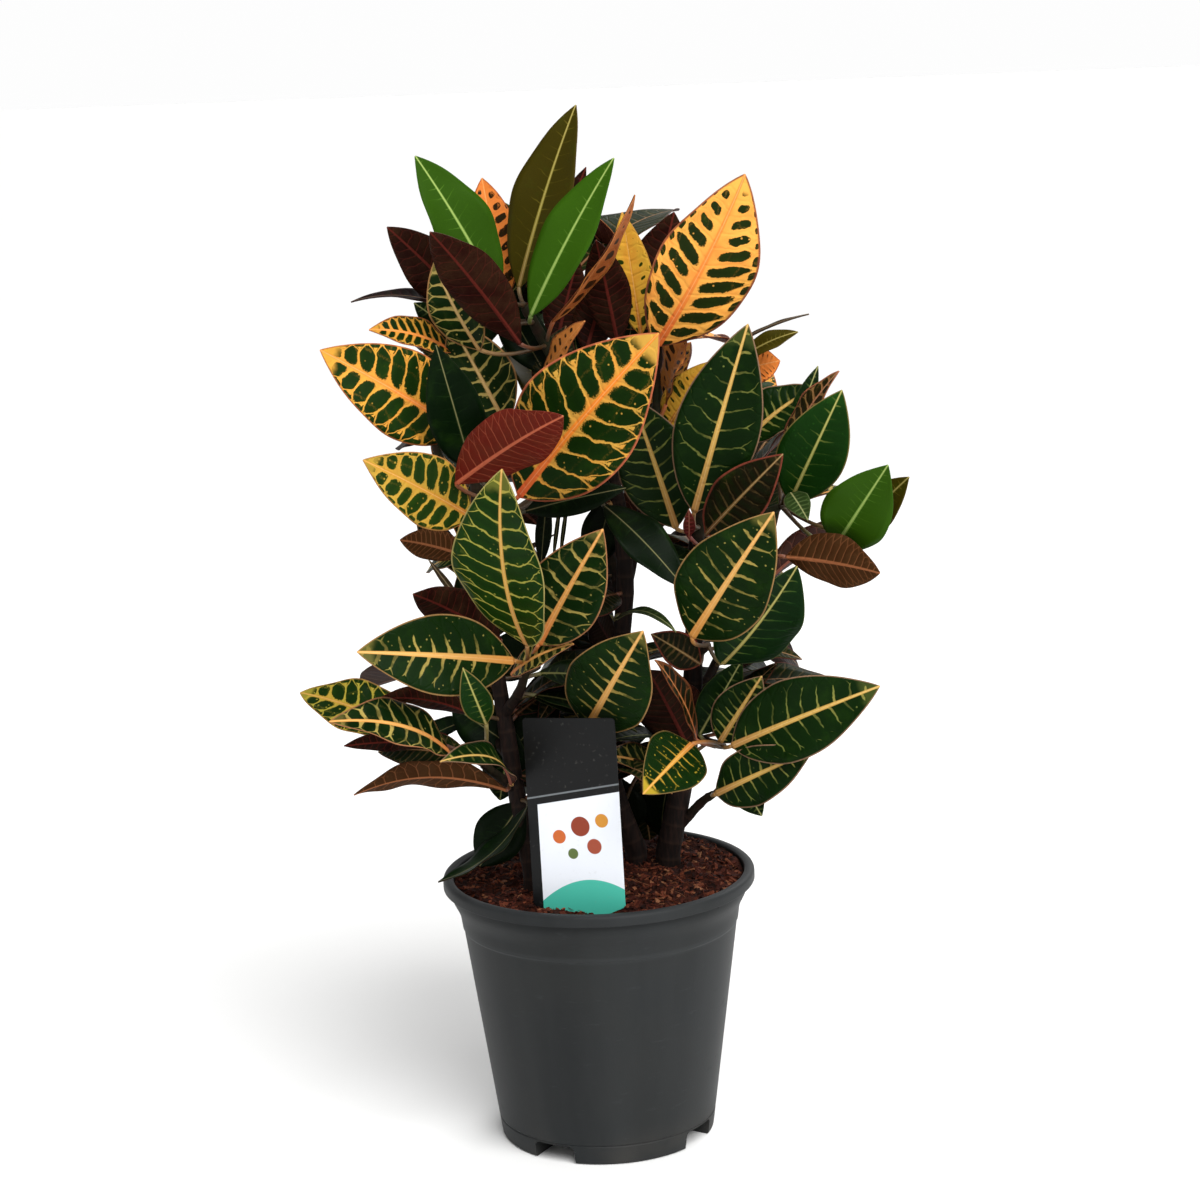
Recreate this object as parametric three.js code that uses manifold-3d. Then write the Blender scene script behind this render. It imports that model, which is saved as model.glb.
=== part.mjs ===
// A potted croton: three leafy stems in a nursery pot filled with soil, with a plant label.
// Millimetres, +Z up. The origin is the centre of the pot's base, on the floor, and -Y is the front.
import * as THREE from 'three';
import { mergeVertices } from 'three/addons/utils/BufferGeometryUtils.js';
import Module from 'manifold-3d';

const wasm = await Module();
wasm.setup();

// ---------------------------------------------------------------- driving dimensions

const GAP = 0.3; // clearance between pieces that touch

const POT = {
  height: 182,
  lipRadius: 105,
  mouthRadius: 98,
  neckRadius: 94, // outside, where the body starts to flare towards its lip
  neckHeight: 158,
  flareHeight: 10,
  skirtBottom: 174.5,
  baseRadius: 72.4,
  wall: 1.8,
  grooveHeight: 13,
  stackRingHeight: 147,
  segments: 30,
};

const FOOT = {
  height: 12, // how far the pot's floor is raised between its feet
  innerRadius: 50,
  notchHalfWidth: 15,
  notchAngles: [-30, 57, 150, 237], // degrees from the front, towards +X
  cornerRadius: 4,
};

const DRAIN = { radius: 5, notchRing: 61, innerRing: 28, innerCount: 4, sides: 9 };

const SOIL = { level: 177, mound: 5, tilt: 0.06, relief: 1.6, rings: 6, spokes: 30, holeDepth: 67 };

const LABEL = {
  width: 64,
  height: 127, // the card, down to the soil
  thickness: 0.8,
  stakeWidth: 34,
  stakeLength: 42,
  middle: [-13, -73], // where it enters the soil
  turn: 21, // degrees, right edge towards the front
  sideLean: -2.8, // degrees, top towards -X
  backLean: 4, // degrees, top away from the front
};

const LEAF = {
  thickness: 0.9,
  petioleWidth: 3.4,
  petioleThickness: 2.6,
  fold: 0.2, // how far the margins rise above the midrib, as a share of the half width
  widest: 0.92, // exponent that sets where the blade is widest
  fullness: 0.85, // exponent that rounds the outline
  longStations: [0, 0.14, 0.36, 0.62, 0.85, 1],
  shortStations: [0, 0.2, 0.5, 0.8, 1],
  longFrom: 80, // blades this long or longer get the long list of stations
};

// Colours of the plain pieces, as seen in daylight.
const COLOURS = {
  pot: 0x3b3d3e,
  soil: 0x3a211a,
  label: 0x2c2f33,
  left_stem: 0x2f5a22,
  centre_stem: 0x6a6a26,
  right_stem: 0x1f4a24,
};

// ---------------------------------------------------------------- where the plant's points lie

// The plant was measured from one standing place in front of it. A leaf's end is given as the column
// and row of its place in that view, 1200 wide and high, with its depth along +Y in millimetres.
const VIEW = {
  distance: 1787,
  height: 725,
  side: 7.7,
  focal: 2755,
  centre: 600,
  pitch: THREE.MathUtils.degToRad(11.34),
  roll: THREE.MathUtils.degToRad(2.15),
};

function seen([column, row, depth]) {
  const right = column - VIEW.centre;
  const up = VIEW.centre - row;
  const x = (right * Math.cos(VIEW.roll) + up * Math.sin(VIEW.roll)) / VIEW.focal;
  const y = (up * Math.cos(VIEW.roll) - right * Math.sin(VIEW.roll)) / VIEW.focal;
  const forward = Math.cos(VIEW.pitch) + y * Math.sin(VIEW.pitch);
  const rise = y * Math.cos(VIEW.pitch) - Math.sin(VIEW.pitch);
  const reach = (VIEW.distance + depth) / forward;
  return new THREE.Vector3(VIEW.side + reach * x, depth, VIEW.height + reach * rise);
}

function placeInView(point) {
  const x = point.x - VIEW.side;
  const y = point.y + VIEW.distance;
  const z = point.z - VIEW.height;
  const depth = y * Math.cos(VIEW.pitch) - z * Math.sin(VIEW.pitch);
  const right = (x / depth) * VIEW.focal;
  const up = ((z * Math.cos(VIEW.pitch) + y * Math.sin(VIEW.pitch)) / depth) * VIEW.focal;
  const column = VIEW.centre + right * Math.cos(VIEW.roll) - up * Math.sin(VIEW.roll);
  const row = VIEW.centre - right * Math.sin(VIEW.roll) - up * Math.cos(VIEW.roll);
  return [column, row];
}

// ---------------------------------------------------------------- solids and booleans

function solidOf(geometry) {
  geometry.deleteAttribute('normal');
  geometry.deleteAttribute('uv');
  const merged = mergeVertices(geometry, 1e-4);
  const vertProperties = new Float32Array(merged.attributes.position.array);
  const triVerts = new Uint32Array(merged.index.array);
  return new wasm.Manifold(new wasm.Mesh({ numProp: 3, vertProperties, triVerts }));
}

function geometryOf(solid) {
  const mesh = solid.getMesh();
  const geometry = new THREE.BufferGeometry();
  geometry.setAttribute('position', new THREE.BufferAttribute(mesh.vertProperties, 3));
  geometry.setIndex(new THREE.BufferAttribute(mesh.triVerts, 1));
  geometry.computeVertexNormals();
  return geometry;
}

function joined(solids) {
  return solids.reduce((whole, piece) => whole.add(piece));
}

function lathed(profile) {
  const points = profile.map(([radius, height]) => new THREE.Vector2(radius, height));
  const geometry = new THREE.LatheGeometry(points, POT.segments);
  geometry.rotateX(Math.PI / 2);
  return solidOf(geometry);
}

function post(radius, bottom, top, x, y, sides = 24) {
  const geometry = new THREE.CylinderGeometry(radius, radius, top - bottom, sides);
  geometry.rotateX(Math.PI / 2);
  geometry.translate(x, y, (top + bottom) / 2);
  return solidOf(geometry);
}

// A loft through closed rings of points, each ring clockwise seen against its direction of travel.
// diagonals says, for each side of a ring, which way its quads are split.
function loft(rings, diagonals, endTriangles) {
  const sides = rings[0].length;
  const position = [];
  const index = [];
  rings.forEach((ring) => ring.forEach((point) => position.push(point.x, point.y, point.z)));
  for (let ring = 0; ring + 1 < rings.length; ring += 1) {
    for (let side = 0; side < sides; side += 1) {
      const a = ring * sides + side;
      const b = ring * sides + ((side + 1) % sides);
      const c = b + sides;
      const d = a + sides;
      if (diagonals[side]) index.push(a, d, b, b, d, c);
      else index.push(a, c, b, a, d, c);
    }
  }
  const last = (rings.length - 1) * sides;
  endTriangles.forEach(([a, b, c]) => index.push(a, b, c, last + c, last + b, last + a));
  const geometry = new THREE.BufferGeometry();
  geometry.setAttribute('position', new THREE.Float32BufferAttribute(position, 3));
  geometry.setIndex(index);
  return solidOf(geometry);
}

// ---------------------------------------------------------------- pot

function bodyRadius(height) {
  return POT.baseRadius + ((POT.neckRadius - POT.baseRadius) * height) / POT.neckHeight;
}

function potOuterProfile() {
  const { height, lipRadius, mouthRadius, neckHeight, grooveHeight, stackRingHeight, wall } = POT;
  const { skirtBottom, flareHeight } = POT;
  const grooveDepth = 0.7;
  const ringStep = 0.6;
  return [
    [0, 0],
    [POT.baseRadius - 1, 0],
    [POT.baseRadius, 1],
    [bodyRadius(grooveHeight), grooveHeight],
    [bodyRadius(grooveHeight) - grooveDepth, grooveHeight + 0.6],
    [bodyRadius(grooveHeight + 1.4), grooveHeight + 1.4],
    [bodyRadius(stackRingHeight), stackRingHeight],
    [bodyRadius(stackRingHeight) + ringStep, stackRingHeight + 0.8],
    [bodyRadius(neckHeight) + ringStep, neckHeight],
    [mouthRadius + wall, neckHeight + flareHeight],
    [mouthRadius + wall, height - wall],
    [lipRadius - wall, height - wall - 1],
    [lipRadius - wall, skirtBottom],
    [lipRadius - 0.6, skirtBottom],
    [lipRadius, skirtBottom + 1.5],
    [lipRadius, height - 3.2],
    [lipRadius - 1, height - 1],
    [lipRadius - 3, height],
    [mouthRadius + 0.8, height],
    [mouthRadius, height - 0.8],
    [mouthRadius, height - 4],
    [0, height - 4],
  ];
}

// The room inside the pot, for anything that stands inset behind its outer faces.
function potRoom(inset) {
  const mouth = POT.mouthRadius + POT.wall - inset;
  const cone = lathed([
    [0, inset],
    [bodyRadius(0) - inset, inset],
    [bodyRadius(POT.neckHeight) - inset, POT.neckHeight + 0.6],
    [mouth, POT.neckHeight + POT.flareHeight + 0.6],
    [mouth, POT.height + 20],
    [0, POT.height + 20],
  ]);
  return cone.subtract(footSpace(inset));
}

// The space under the pot's raised floor: a round recess and the four notches that lead out of it.
function footSpace(grow) {
  const top = FOOT.height + grow;
  const recess = post(FOOT.innerRadius + grow, -5, top, 0, 0, 32);
  const half = FOOT.notchHalfWidth + grow;
  const corner = FOOT.cornerRadius;
  const arch = new THREE.Shape();
  arch.moveTo(-half, -5);
  arch.lineTo(half, -5);
  arch.lineTo(half, top - corner);
  arch.absarc(half - corner, top - corner, corner, 0, Math.PI / 2, false);
  arch.absarc(-half + corner, top - corner, corner, Math.PI / 2, Math.PI, false);
  arch.closePath();
  const notches = FOOT.notchAngles.map((degrees) => {
    const length = POT.neckRadius - FOOT.innerRadius + 10;
    const geometry = new THREE.ExtrudeGeometry(arch, {
      depth: length, bevelEnabled: false, curveSegments: 2,
    });
    geometry.rotateX(Math.PI / 2);
    geometry.translate(0, -FOOT.innerRadius + 10, 0);
    geometry.rotateZ(THREE.MathUtils.degToRad(degrees));
    return solidOf(geometry);
  });
  return joined([recess, ...notches]);
}

function drainHoles() {
  const holes = [post(DRAIN.radius, 0, 30, 0, 0, DRAIN.sides)];
  FOOT.notchAngles.forEach((degrees) => {
    const angle = THREE.MathUtils.degToRad(degrees - 90);
    const x = DRAIN.notchRing * Math.cos(angle);
    const y = DRAIN.notchRing * Math.sin(angle);
    holes.push(post(DRAIN.radius, 0, 30, x, y, DRAIN.sides));
  });
  for (let hole = 0; hole < DRAIN.innerCount; hole += 1) {
    const angle = ((hole + 0.5) * 2 * Math.PI) / DRAIN.innerCount;
    const x = DRAIN.innerRing * Math.cos(angle);
    const y = DRAIN.innerRing * Math.sin(angle);
    holes.push(post(DRAIN.radius, 0, 30, x, y, DRAIN.sides));
  }
  return joined(holes);
}

function makePot() {
  const outside = lathed(potOuterProfile()).subtract(footSpace(0));
  return outside.subtract(potRoom(POT.wall)).subtract(drainHoles());
}

// ---------------------------------------------------------------- soil

// The top of the soil: a low mound, a little higher at the back, roughened by three slow waves.
function soilHeight(x, y) {
  const out = Math.min(1, Math.hypot(x, y) / POT.mouthRadius);
  const mound = SOIL.mound * (1 - out * out) + SOIL.tilt * y;
  const waves = Math.sin(0.11 * x + 1.3) * Math.cos(0.13 * y) + Math.sin(0.23 * y - 0.17 * x);
  return SOIL.level + mound + SOIL.relief * 0.5 * (waves + Math.cos(0.31 * x + 0.2 * y));
}

function soilBlock() {
  const { rings, spokes } = SOIL;
  const reach = POT.mouthRadius + 4;
  const position = [0, 0, soilHeight(0, 0)];
  const index = [];
  for (let ring = 1; ring <= rings; ring += 1) {
    for (let spoke = 0; spoke < spokes; spoke += 1) {
      const radius = (reach * ring) / rings;
      const angle = (spoke * 2 * Math.PI) / spokes;
      const x = radius * Math.cos(angle);
      const y = radius * Math.sin(angle);
      position.push(x, y, soilHeight(x, y));
    }
  }
  const under = position.length / 3;
  position.push(0, 0, -5);
  for (let spoke = 0; spoke < spokes; spoke += 1) {
    const angle = (spoke * 2 * Math.PI) / spokes;
    position.push(reach * Math.cos(angle), reach * Math.sin(angle), -5);
  }
  const rim = 1 + (rings - 1) * spokes;
  for (let spoke = 0; spoke < spokes; spoke += 1) {
    const next = (spoke + 1) % spokes;
    index.push(0, 1 + spoke, 1 + next);
    index.push(under, under + 1 + next, under + 1 + spoke);
    index.push(rim + spoke, under + 1 + spoke, under + 1 + next);
    index.push(rim + spoke, under + 1 + next, rim + next);
    for (let ring = 0; ring + 1 < rings; ring += 1) {
      const inner = 1 + ring * spokes;
      const outer = inner + spokes;
      index.push(inner + spoke, outer + spoke, outer + next);
      index.push(inner + spoke, outer + next, inner + next);
    }
  }
  const geometry = new THREE.BufferGeometry();
  geometry.setAttribute('position', new THREE.Float32BufferAttribute(position, 3));
  geometry.setIndex(index);
  return solidOf(geometry);
}

function makeSoil(stems) {
  let soil = potRoom(POT.wall + GAP).intersect(soilBlock());
  stems.forEach((stem) => {
    const [x, y] = stem.rootPlace;
    const radius = stem.radius + 2 * GAP;
    soil = soil.subtract(post(radius, ROOT_BOTTOM - GAP, POT.height + 30, x, y));
  });
  return soil.subtract(makeLabel(GAP));
}

// ---------------------------------------------------------------- plant label

function makeLabel(grow) {
  const half = LABEL.width / 2 + grow;
  const stake = LABEL.stakeWidth / 2 + grow;
  const foot = -LABEL.stakeLength - grow;
  const shoulder = 6;
  const outline = new THREE.Shape();
  outline.moveTo(-half, 4);
  outline.lineTo(-stake, 4 - shoulder);
  outline.lineTo(-stake, foot + 14);
  outline.lineTo(0, foot);
  outline.lineTo(stake, foot + 14);
  outline.lineTo(stake, 4 - shoulder);
  outline.lineTo(half, 4);
  outline.lineTo(half, LABEL.height);
  outline.lineTo(-half, LABEL.height);
  outline.closePath();
  const depth = LABEL.thickness + 2 * grow;
  const geometry = new THREE.ExtrudeGeometry(outline, { depth, bevelEnabled: false });
  geometry.translate(0, 0, -depth / 2);
  geometry.rotateX(Math.PI / 2 - THREE.MathUtils.degToRad(LABEL.backLean));
  geometry.rotateY(THREE.MathUtils.degToRad(LABEL.sideLean));
  geometry.rotateZ(THREE.MathUtils.degToRad(-LABEL.turn));
  geometry.translate(LABEL.middle[0], LABEL.middle[1], SOIL.level - 1);
  return solidOf(geometry);
}

// ---------------------------------------------------------------- stems and branches

const STEM_SIDES = 8;
const SHOOT_SIDES = 5;
const PATH_STEPS = 2; // points to each span of a path
const ROOT_BOTTOM = SOIL.level - SOIL.holeDepth;
const ROOT_TOP = SOIL.level + 13;

// A main stem rises straight out of the soil and then through places in the view, and shoots leave
// it at such places too. A far shoot leaves at a numbered point of the main stem's path, and its
// bends are given from there, in plain millimetres.
const STEMS = {
  left_stem: {
    radius: 6.5,
    tipRadius: 3.2,
    root: [533, 880, -28],
    main: [[518, 800, -26], [505, 720, -20], [492, 640, -18], [482, 560, -14], [476, 490, -12],
      [472, 425, -8]],
    shoots: [
      [[516, 790, -26], [498, 776, -34], [482, 764, -42]],
      [[504, 715, -20], [520, 690, -38], [527, 664, -56]],
      [[484, 575, -15], [500, 535, -34], [508, 505, -44]],
    ],
    farShoots: [
      [3, [-24, 30, 28], [-44, 50, 54]],
      [5, [-14, 32, 42], [-32, 54, 84]],
      [8, [-18, 26, 40], [-34, 44, 86]],
      [11, [-8, 22, 30], [-14, 40, 62]],
    ],
  },
  centre_stem: {
    radius: 7.5,
    tipRadius: 3.2,
    root: [636, 846, 14],
    main: [[608, 762, 6], [619, 660, 4], [625, 570, 2], [612, 480, 0], [580, 405, -4],
      [546, 345, -8], [524, 305, -10]],
    shoots: [
      [[622, 610, 3], [640, 520, 8], [655, 430, 8], [656, 365, 6]],
      [[611, 780, 8], [598, 762, -16], [590, 745, -40]],
    ],
    farShoots: [
      [3, [-12, 34, 24], [-22, 58, 56]],
      [5, [-8, 36, 38], [-18, 62, 82]],
      [7, [-26, 30, 46], [-34, 46, 98]],
      [8, [30, 34, 38], [36, 50, 84]],
      [11, [-4, 26, 24], [-4, 40, 62]],
    ],
  },
  right_stem: {
    radius: 8.5,
    tipRadius: 3.2,
    root: [668, 850, 8],
    main: [[682, 780, 4], [691, 710, 0], [694, 630, -2], [694, 560, -4], [706, 495, -4],
      [722, 440, 2]],
    shoots: [
      [[694, 575, -4], [738, 528, -14], [782, 506, -20]],
      [[691, 735, 0], [708, 742, -16], [724, 746, -30]],
      [[694, 660, -2], [702, 650, -20], [708, 645, -36]],
      [[676, 830, 6], [692, 812, 2], [704, 800, -6], [714, 794, -16]],
    ],
    farShoots: [
      [4, [22, 34, 30], [38, 56, 62]],
      [6, [20, 34, 42], [30, 58, 86]],
      [8, [24, 28, 38], [50, 46, 74]],
      [10, [8, 26, 32], [20, 42, 70]],
    ],
  },
};

// A smooth path through the points: Catmull-Rom.
function smoothPath(points) {
  const path = [points[0].clone()];
  for (let span = 0; span + 1 < points.length; span += 1) {
    const before = points[Math.max(0, span - 1)];
    const start = points[span];
    const end = points[span + 1];
    const after = points[Math.min(points.length - 1, span + 2)];
    for (let step = 1; step <= PATH_STEPS; step += 1) {
      const t = step / PATH_STEPS;
      const mix = (a, b, c, d) => 0.5 * (2 * b + (c - a) * t + (2 * a - 5 * b + 4 * c - d) * t * t
        + (3 * b - a - 3 * c + d) * t * t * t);
      path.push(new THREE.Vector3(
        mix(before.x, start.x, end.x, after.x),
        mix(before.y, start.y, end.y, after.y),
        mix(before.z, start.z, end.z, after.z),
      ));
    }
  }
  return path;
}

function tube(path, startRadius, endRadius, sides) {
  const rings = [];
  const across = new THREE.Vector3(1, 0, 0);
  path.forEach((point, place) => {
    const ahead = path[Math.min(path.length - 1, place + 1)];
    const behind = path[Math.max(0, place - 1)];
    const along = ahead.clone().sub(behind).normalize();
    across.addScaledVector(along, -across.dot(along)).normalize();
    const up = along.clone().cross(across);
    const radius = startRadius + ((endRadius - startRadius) * place) / (path.length - 1);
    const ring = [];
    for (let side = 0; side < sides; side += 1) {
      const angle = (-side * 2 * Math.PI) / sides;
      ring.push(point.clone()
        .addScaledVector(across, radius * Math.cos(angle))
        .addScaledVector(up, radius * Math.sin(angle)));
    }
    rings.push(ring);
  });
  const fan = [];
  for (let side = 1; side + 1 < sides; side += 1) fan.push([0, side, side + 1]);
  return loft(rings, new Array(sides).fill(false), fan);
}

function growStem(plan) {
  const root = seen(plan.root);
  const rise = [new THREE.Vector3(root.x, root.y, ROOT_TOP), ...plan.main.map(seen)];
  const main = smoothPath(rise);
  const shoots = plan.shoots.map((shoot) => smoothPath(shoot.map(seen)));
  const farShoots = plan.farShoots.map(([start, ...bends]) => {
    const places = bends.map((bend) => main[start].clone().add(new THREE.Vector3(...bend)));
    return smoothPath([main[start], ...places]);
  });
  const bottom = new THREE.Vector3(root.x, root.y, ROOT_BOTTOM);
  const wood = [tube([bottom, ...main], plan.radius, plan.tipRadius, STEM_SIDES)];
  [...shoots, ...farShoots].forEach((shoot) => {
    wood.push(tube(shoot, plan.tipRadius + 0.6, plan.tipRadius - 0.7, SHOOT_SIDES));
  });
  const paths = [main, ...shoots, ...farShoots];
  return { radius: plan.radius, rootPlace: [root.x, root.y], paths, farPaths: farShoots, wood };
}

// ---------------------------------------------------------------- leaves

// Which way a leaf's upper face looks.
const FACING = {
  front: [0, -1, 0.35],
  frontLeft: [-0.5, -1, 0.3],
  frontRight: [0.5, -1, 0.3],
  frontUp: [0, -0.65, 0.75],
  up: [0, -0.25, 1],
  back: [0, 1, 0.3],
  backUp: [0, 0.75, 0.65],
  left: [-1, -0.35, 0.35],
  right: [1, -0.35, 0.3],
};

// Each leaf: name, tip, base of the blade (column, row, depth), width, arch, facing.
const LEAVES = {
  left_stem: [
    ['curled_small', [369, 330, -38], [452, 352, -15], 28, 6, 'frontUp'],
    ['left_big_net', [320, 350, -93], [462, 432, -37], 56, 7, 'front'],
    ['dark_upright', [436, 345, -88], [472, 470, -51], 36, 5, 'front'],
    ['middle_net', [450, 322, -14], [506, 425, -8], 44, 4, 'front'],
    ['red_underside', [563, 416, -158], [456, 484, -73], 44, 5, 'back'],
    ['centre_hero', [659, 333, -112], [519, 496, -68], 78, 9, 'front'],
    ['left_mid_yellow', [363, 460, -106], [470, 516, -51], 45, 6, 'front'],
    ['brown_left', [400, 540, -38], [466, 556, -22], 24, 3, 'back'],
    ['bare_twig', [428, 559, -22], [462, 604, -18], 5, 2, 'front'],
    ['maroon_mid_left', [413, 594, -75], [500, 640, -40], 34, 5, 'back'],
    ['front_net', [502, 469, -162], [527, 645, -84], 66, 12, 'frontLeft'],
    ['front_net_pair', [603, 529, -117], [539, 644, -75], 50, 5, 'front'],
    ['lower_left_hero', [357, 652, -114], [514, 661, -70], 52, 6, 'front'],
    ['small_green', [463, 668, -127], [486, 724, -81], 20, 2, 'front'],
    ['far_lower_left', [300, 693, 12], [424, 740, -26], 42, 7, 'frontUp'],
    ['near_lower_left', [329, 722, -122], [450, 754, -70], 38, 13, 'frontUp'],
    ['folded_green', [440, 762, -112], [511, 784, -51], 26, 14, 'frontUp'],
    ['brown_low', [354, 795, -83], [506, 790, -46], 32, 12, 'backUp'],
    ['small_maroon', [344, 746, -56], [440, 744, -40], 16, 4, 'back'],
    ['purple_edge', [378, 699, -40], [472, 714, -31], 26, 6, 'backUp'],
    ['rim_drooper', [438, 882, -75], [528, 806, -48], 30, -9, 'left'],
    ['behind_label', [574, 644, -88], [512, 674, -57], 26, 4, 'frontUp'],
  ],
  centre_stem: [
    ['top_bronze', [576, 105, 12], [519, 288, 0], 42, 4, 'frontLeft'],
    ['left_new_green', [415, 156, -51], [498, 295, -31], 42, 4, 'frontRight'],
    ['orange_back', [482, 178, 44], [505, 300, 22], 34, 4, 'front'],
    ['right_new_green', [614, 158, -67], [531, 316, -42], 36, 4, 'frontLeft'],
    ['maroon_narrow', [586, 167, 30], [534, 300, 8], 24, 4, 'back'],
    ['maroon_left', [387, 227, -11], [482, 322, -11], 38, 5, 'back'],
    ['maroon_drooper', [430, 232, -101], [520, 344, -44], 36, 6, 'back'],
    ['left_net', [434, 262, -46], [480, 350, -29], 34, 4, 'frontLeft'],
    ['thin_arched', [351, 302, 4], [470, 318, 2], 20, 9, 'up'],
    ['small_dark', [414, 303, 22], [470, 345, 14], 22, 3, 'front'],
    ['peach_strip', [585, 321, -40], [542, 388, -13], 24, 3, 'left'],
    ['yellow_side_on', [635, 195, -35], [553, 322, -18], 32, 4, 'right'],
    ['bright_yellow', [622, 212, 6], [641, 335, 14], 27, 3, 'front'],
    ['maroon_inner', [596, 240, -6], [618, 344, 2], 30, 4, 'back'],
    ['top_right_hero', [745, 174, -43], [656, 346, -24], 68, 8, 'frontRight'],
    ['maroon_behind', [674, 212, 40], [648, 335, 26], 44, 4, 'back'],
    ['peach_bit', [694, 320, -9], [666, 404, 6], 36, 3, 'left'],
    ['yellow_wedge', [708, 362, 4], [666, 430, 10], 28, 3, 'front'],
    ['long_dark', [684, 588, -78], [604, 506, -44], 30, 5, 'frontUp'],
    ['narrow_curl', [676, 632, -64], [617, 618, -24], 11, 9, 'up'],
    ['label_top', [643, 631, -108], [587, 728, -45], 58, 3, 'front'],
  ],
  right_stem: [
    ['right_hero', [748, 324, -88], [694, 512, -53], 54, 5, 'front'],
    ['centre_dark_net', [632, 398, -34], [676, 528, -30], 50, 4, 'front'],
    ['thread_leaf', [809, 314, 4], [738, 342, 10], 5, 2, 'up'],
    ['small_pointed', [798, 332, 16], [742, 358, 18], 16, 3, 'frontUp'],
    ['orange_bit', [780, 361, 30], [738, 372, 28], 24, 3, 'front'],
    ['dark_right', [815, 388, 2], [746, 442, 2], 36, 5, 'frontUp'],
    ['narrow_twist', [839, 371, -38], [782, 458, -20], 26, 3, 'left'],
    ['green_spike', [818, 366, 0], [790, 440, -2], 14, 3, 'front'],
    ['upper_green', [842, 390, -72], [790, 502, -44], 44, 5, 'front'],
    ['small_grey', [808, 520, -75], [790, 492, -46], 16, 2, 'front'],
    ['brown_fold', [783, 454, -93], [706, 534, -55], 36, 4, 'front'],
    ['bright_green', [888, 465, -124], [836, 546, -72], 44, 4, 'front'],
    ['far_right_tip', [909, 477, -96], [852, 532, -56], 28, 3, 'front'],
    ['brown_underside', [880, 573, -112], [786, 557, -74], 38, 3, 'back'],
    ['lower_mid_hero', [774, 512, -135], [692, 637, -73], 60, 6, 'front'],
    ['behind_mid_hero', [797, 566, -88], [722, 664, -46], 52, 5, 'frontRight'],
    ['lower_right_hero', [880, 686, -109], [732, 746, -62], 52, 9, 'front'],
    ['lower_right_second', [813, 750, -98], [716, 794, -44], 38, 6, 'front'],
    ['dark_low_tip', [762, 816, -46], [736, 776, -26], 22, 3, 'front'],
    ['front_small', [643, 794, -143], [692, 744, -73], 42, 5, 'front'],
    ['dark_vertical', [742, 660, -35], [700, 734, -22], 26, 3, 'front'],
    ['dark_vertical_twin', [762, 676, -54], [720, 742, -35], 34, 3, 'front'],
    ['orange_fold', [655, 660, -83], [696, 740, -44], 28, 4, 'right'],
    ['pink_bud', [689, 510, -61], [689, 536, -37], 8, 1, 'front'],
    ['tan_tip', [651, 634, -40], [700, 664, -24], 24, 3, 'front'],
    ['dark_maroon_low', [648, 670, -35], [690, 752, -18], 44, 4, 'back'],
  ],
};

function shapeOf(tip, base, width, arch, facing) {
  const along = tip.clone().sub(base);
  const length = along.length();
  along.normalize();
  const face = facing.clone().addScaledVector(along, -facing.dot(along)).normalize();
  const side = along.clone().cross(face);
  return { tip, base, width, arch, along, face, side, length };
}

function midribPoint(leaf, t) {
  return leaf.base.clone()
    .addScaledVector(leaf.along, leaf.length * t)
    .addScaledVector(leaf.face, leaf.arch * 4 * t * (1 - t));
}

function halfWidth(leaf, t) {
  const round = Math.sin(Math.PI * t ** LEAF.widest) ** LEAF.fullness;
  return 0.5 * leaf.width * Math.max(0, round);
}

// Points over a blade, used to keep leaves apart: its midrib and both margins at seven places.
function bladePoints(leaf) {
  const points = [];
  for (let place = 1; place <= 7; place += 1) {
    const t = place / 7.5;
    const middle = midribPoint(leaf, t);
    const half = halfWidth(leaf, t);
    points.push(middle);
    points.push(middle.clone().addScaledVector(leaf.side, half));
    points.push(middle.clone().addScaledVector(leaf.side, -half));
  }
  return points;
}

// The point of the wood that a leaf grows from: near its base, and rather below it than above.
function rootOf(leaf, paths) {
  let best = Infinity;
  let root = null;
  paths.forEach((path) => path.forEach((point) => {
    const above = Math.max(0, point.z - leaf.base.z + 8);
    const cost = point.distanceTo(leaf.base) + 0.8 * above;
    if (cost < best) {
      best = cost;
      root = point;
    }
  }));
  return root.clone();
}

// A section of six points: left margin, midrib and right margin, above and below.
function section(middle, side, face, half, rise, thickness) {
  const at = (across, up) => middle.clone().addScaledVector(side, across).addScaledVector(face, up);
  const top = thickness / 2;
  return [at(-half, rise + top), at(-half, rise - top), at(0, -top), at(half, rise - top),
    at(half, rise + top), at(0, top)];
}

const SECTION_DIAGONALS = [false, true, false, true, true, false];
const SECTION_ENDS = [[0, 1, 2], [0, 2, 5], [5, 2, 3], [5, 3, 4]];

function leafSolid(leaf, root) {
  const rings = [];
  const stalk = leaf.base.clone().sub(root).normalize();
  const lean = leaf.face.dot(stalk);
  const stalkFace = Math.abs(lean) < 0.94
    ? leaf.face.clone() : leaf.along.clone().multiplyScalar(-Math.sign(lean));
  stalkFace.addScaledVector(stalk, -stalkFace.dot(stalk)).normalize();
  const stalkSide = stalk.clone().cross(stalkFace);
  const narrow = LEAF.petioleWidth / 2;
  rings.push(section(root, stalkSide, stalkFace, narrow, 0, LEAF.petioleThickness));
  const stations = leaf.length < LEAF.longFrom || leaf.far ? LEAF.shortStations : LEAF.longStations;
  stations.forEach((t) => {
    const middle = midribPoint(leaf, t);
    const half = Math.max(t === 0 ? narrow : 0.9, halfWidth(leaf, t));
    const slope = (4 * leaf.arch * (1 - 2 * t)) / leaf.length;
    const along = leaf.along.clone().addScaledVector(leaf.face, slope).normalize();
    const direction = t === 0 ? along.add(stalk).normalize() : along;
    const face = leaf.face.clone().addScaledVector(direction, -leaf.face.dot(direction)).normalize();
    const side = direction.clone().cross(face);
    const thickness = t === 0 ? 2 : LEAF.thickness;
    rings.push(section(middle, side, face, half, LEAF.fold * half, thickness));
  });
  return loft(rings, SECTION_DIAGONALS, SECTION_ENDS);
}

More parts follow.
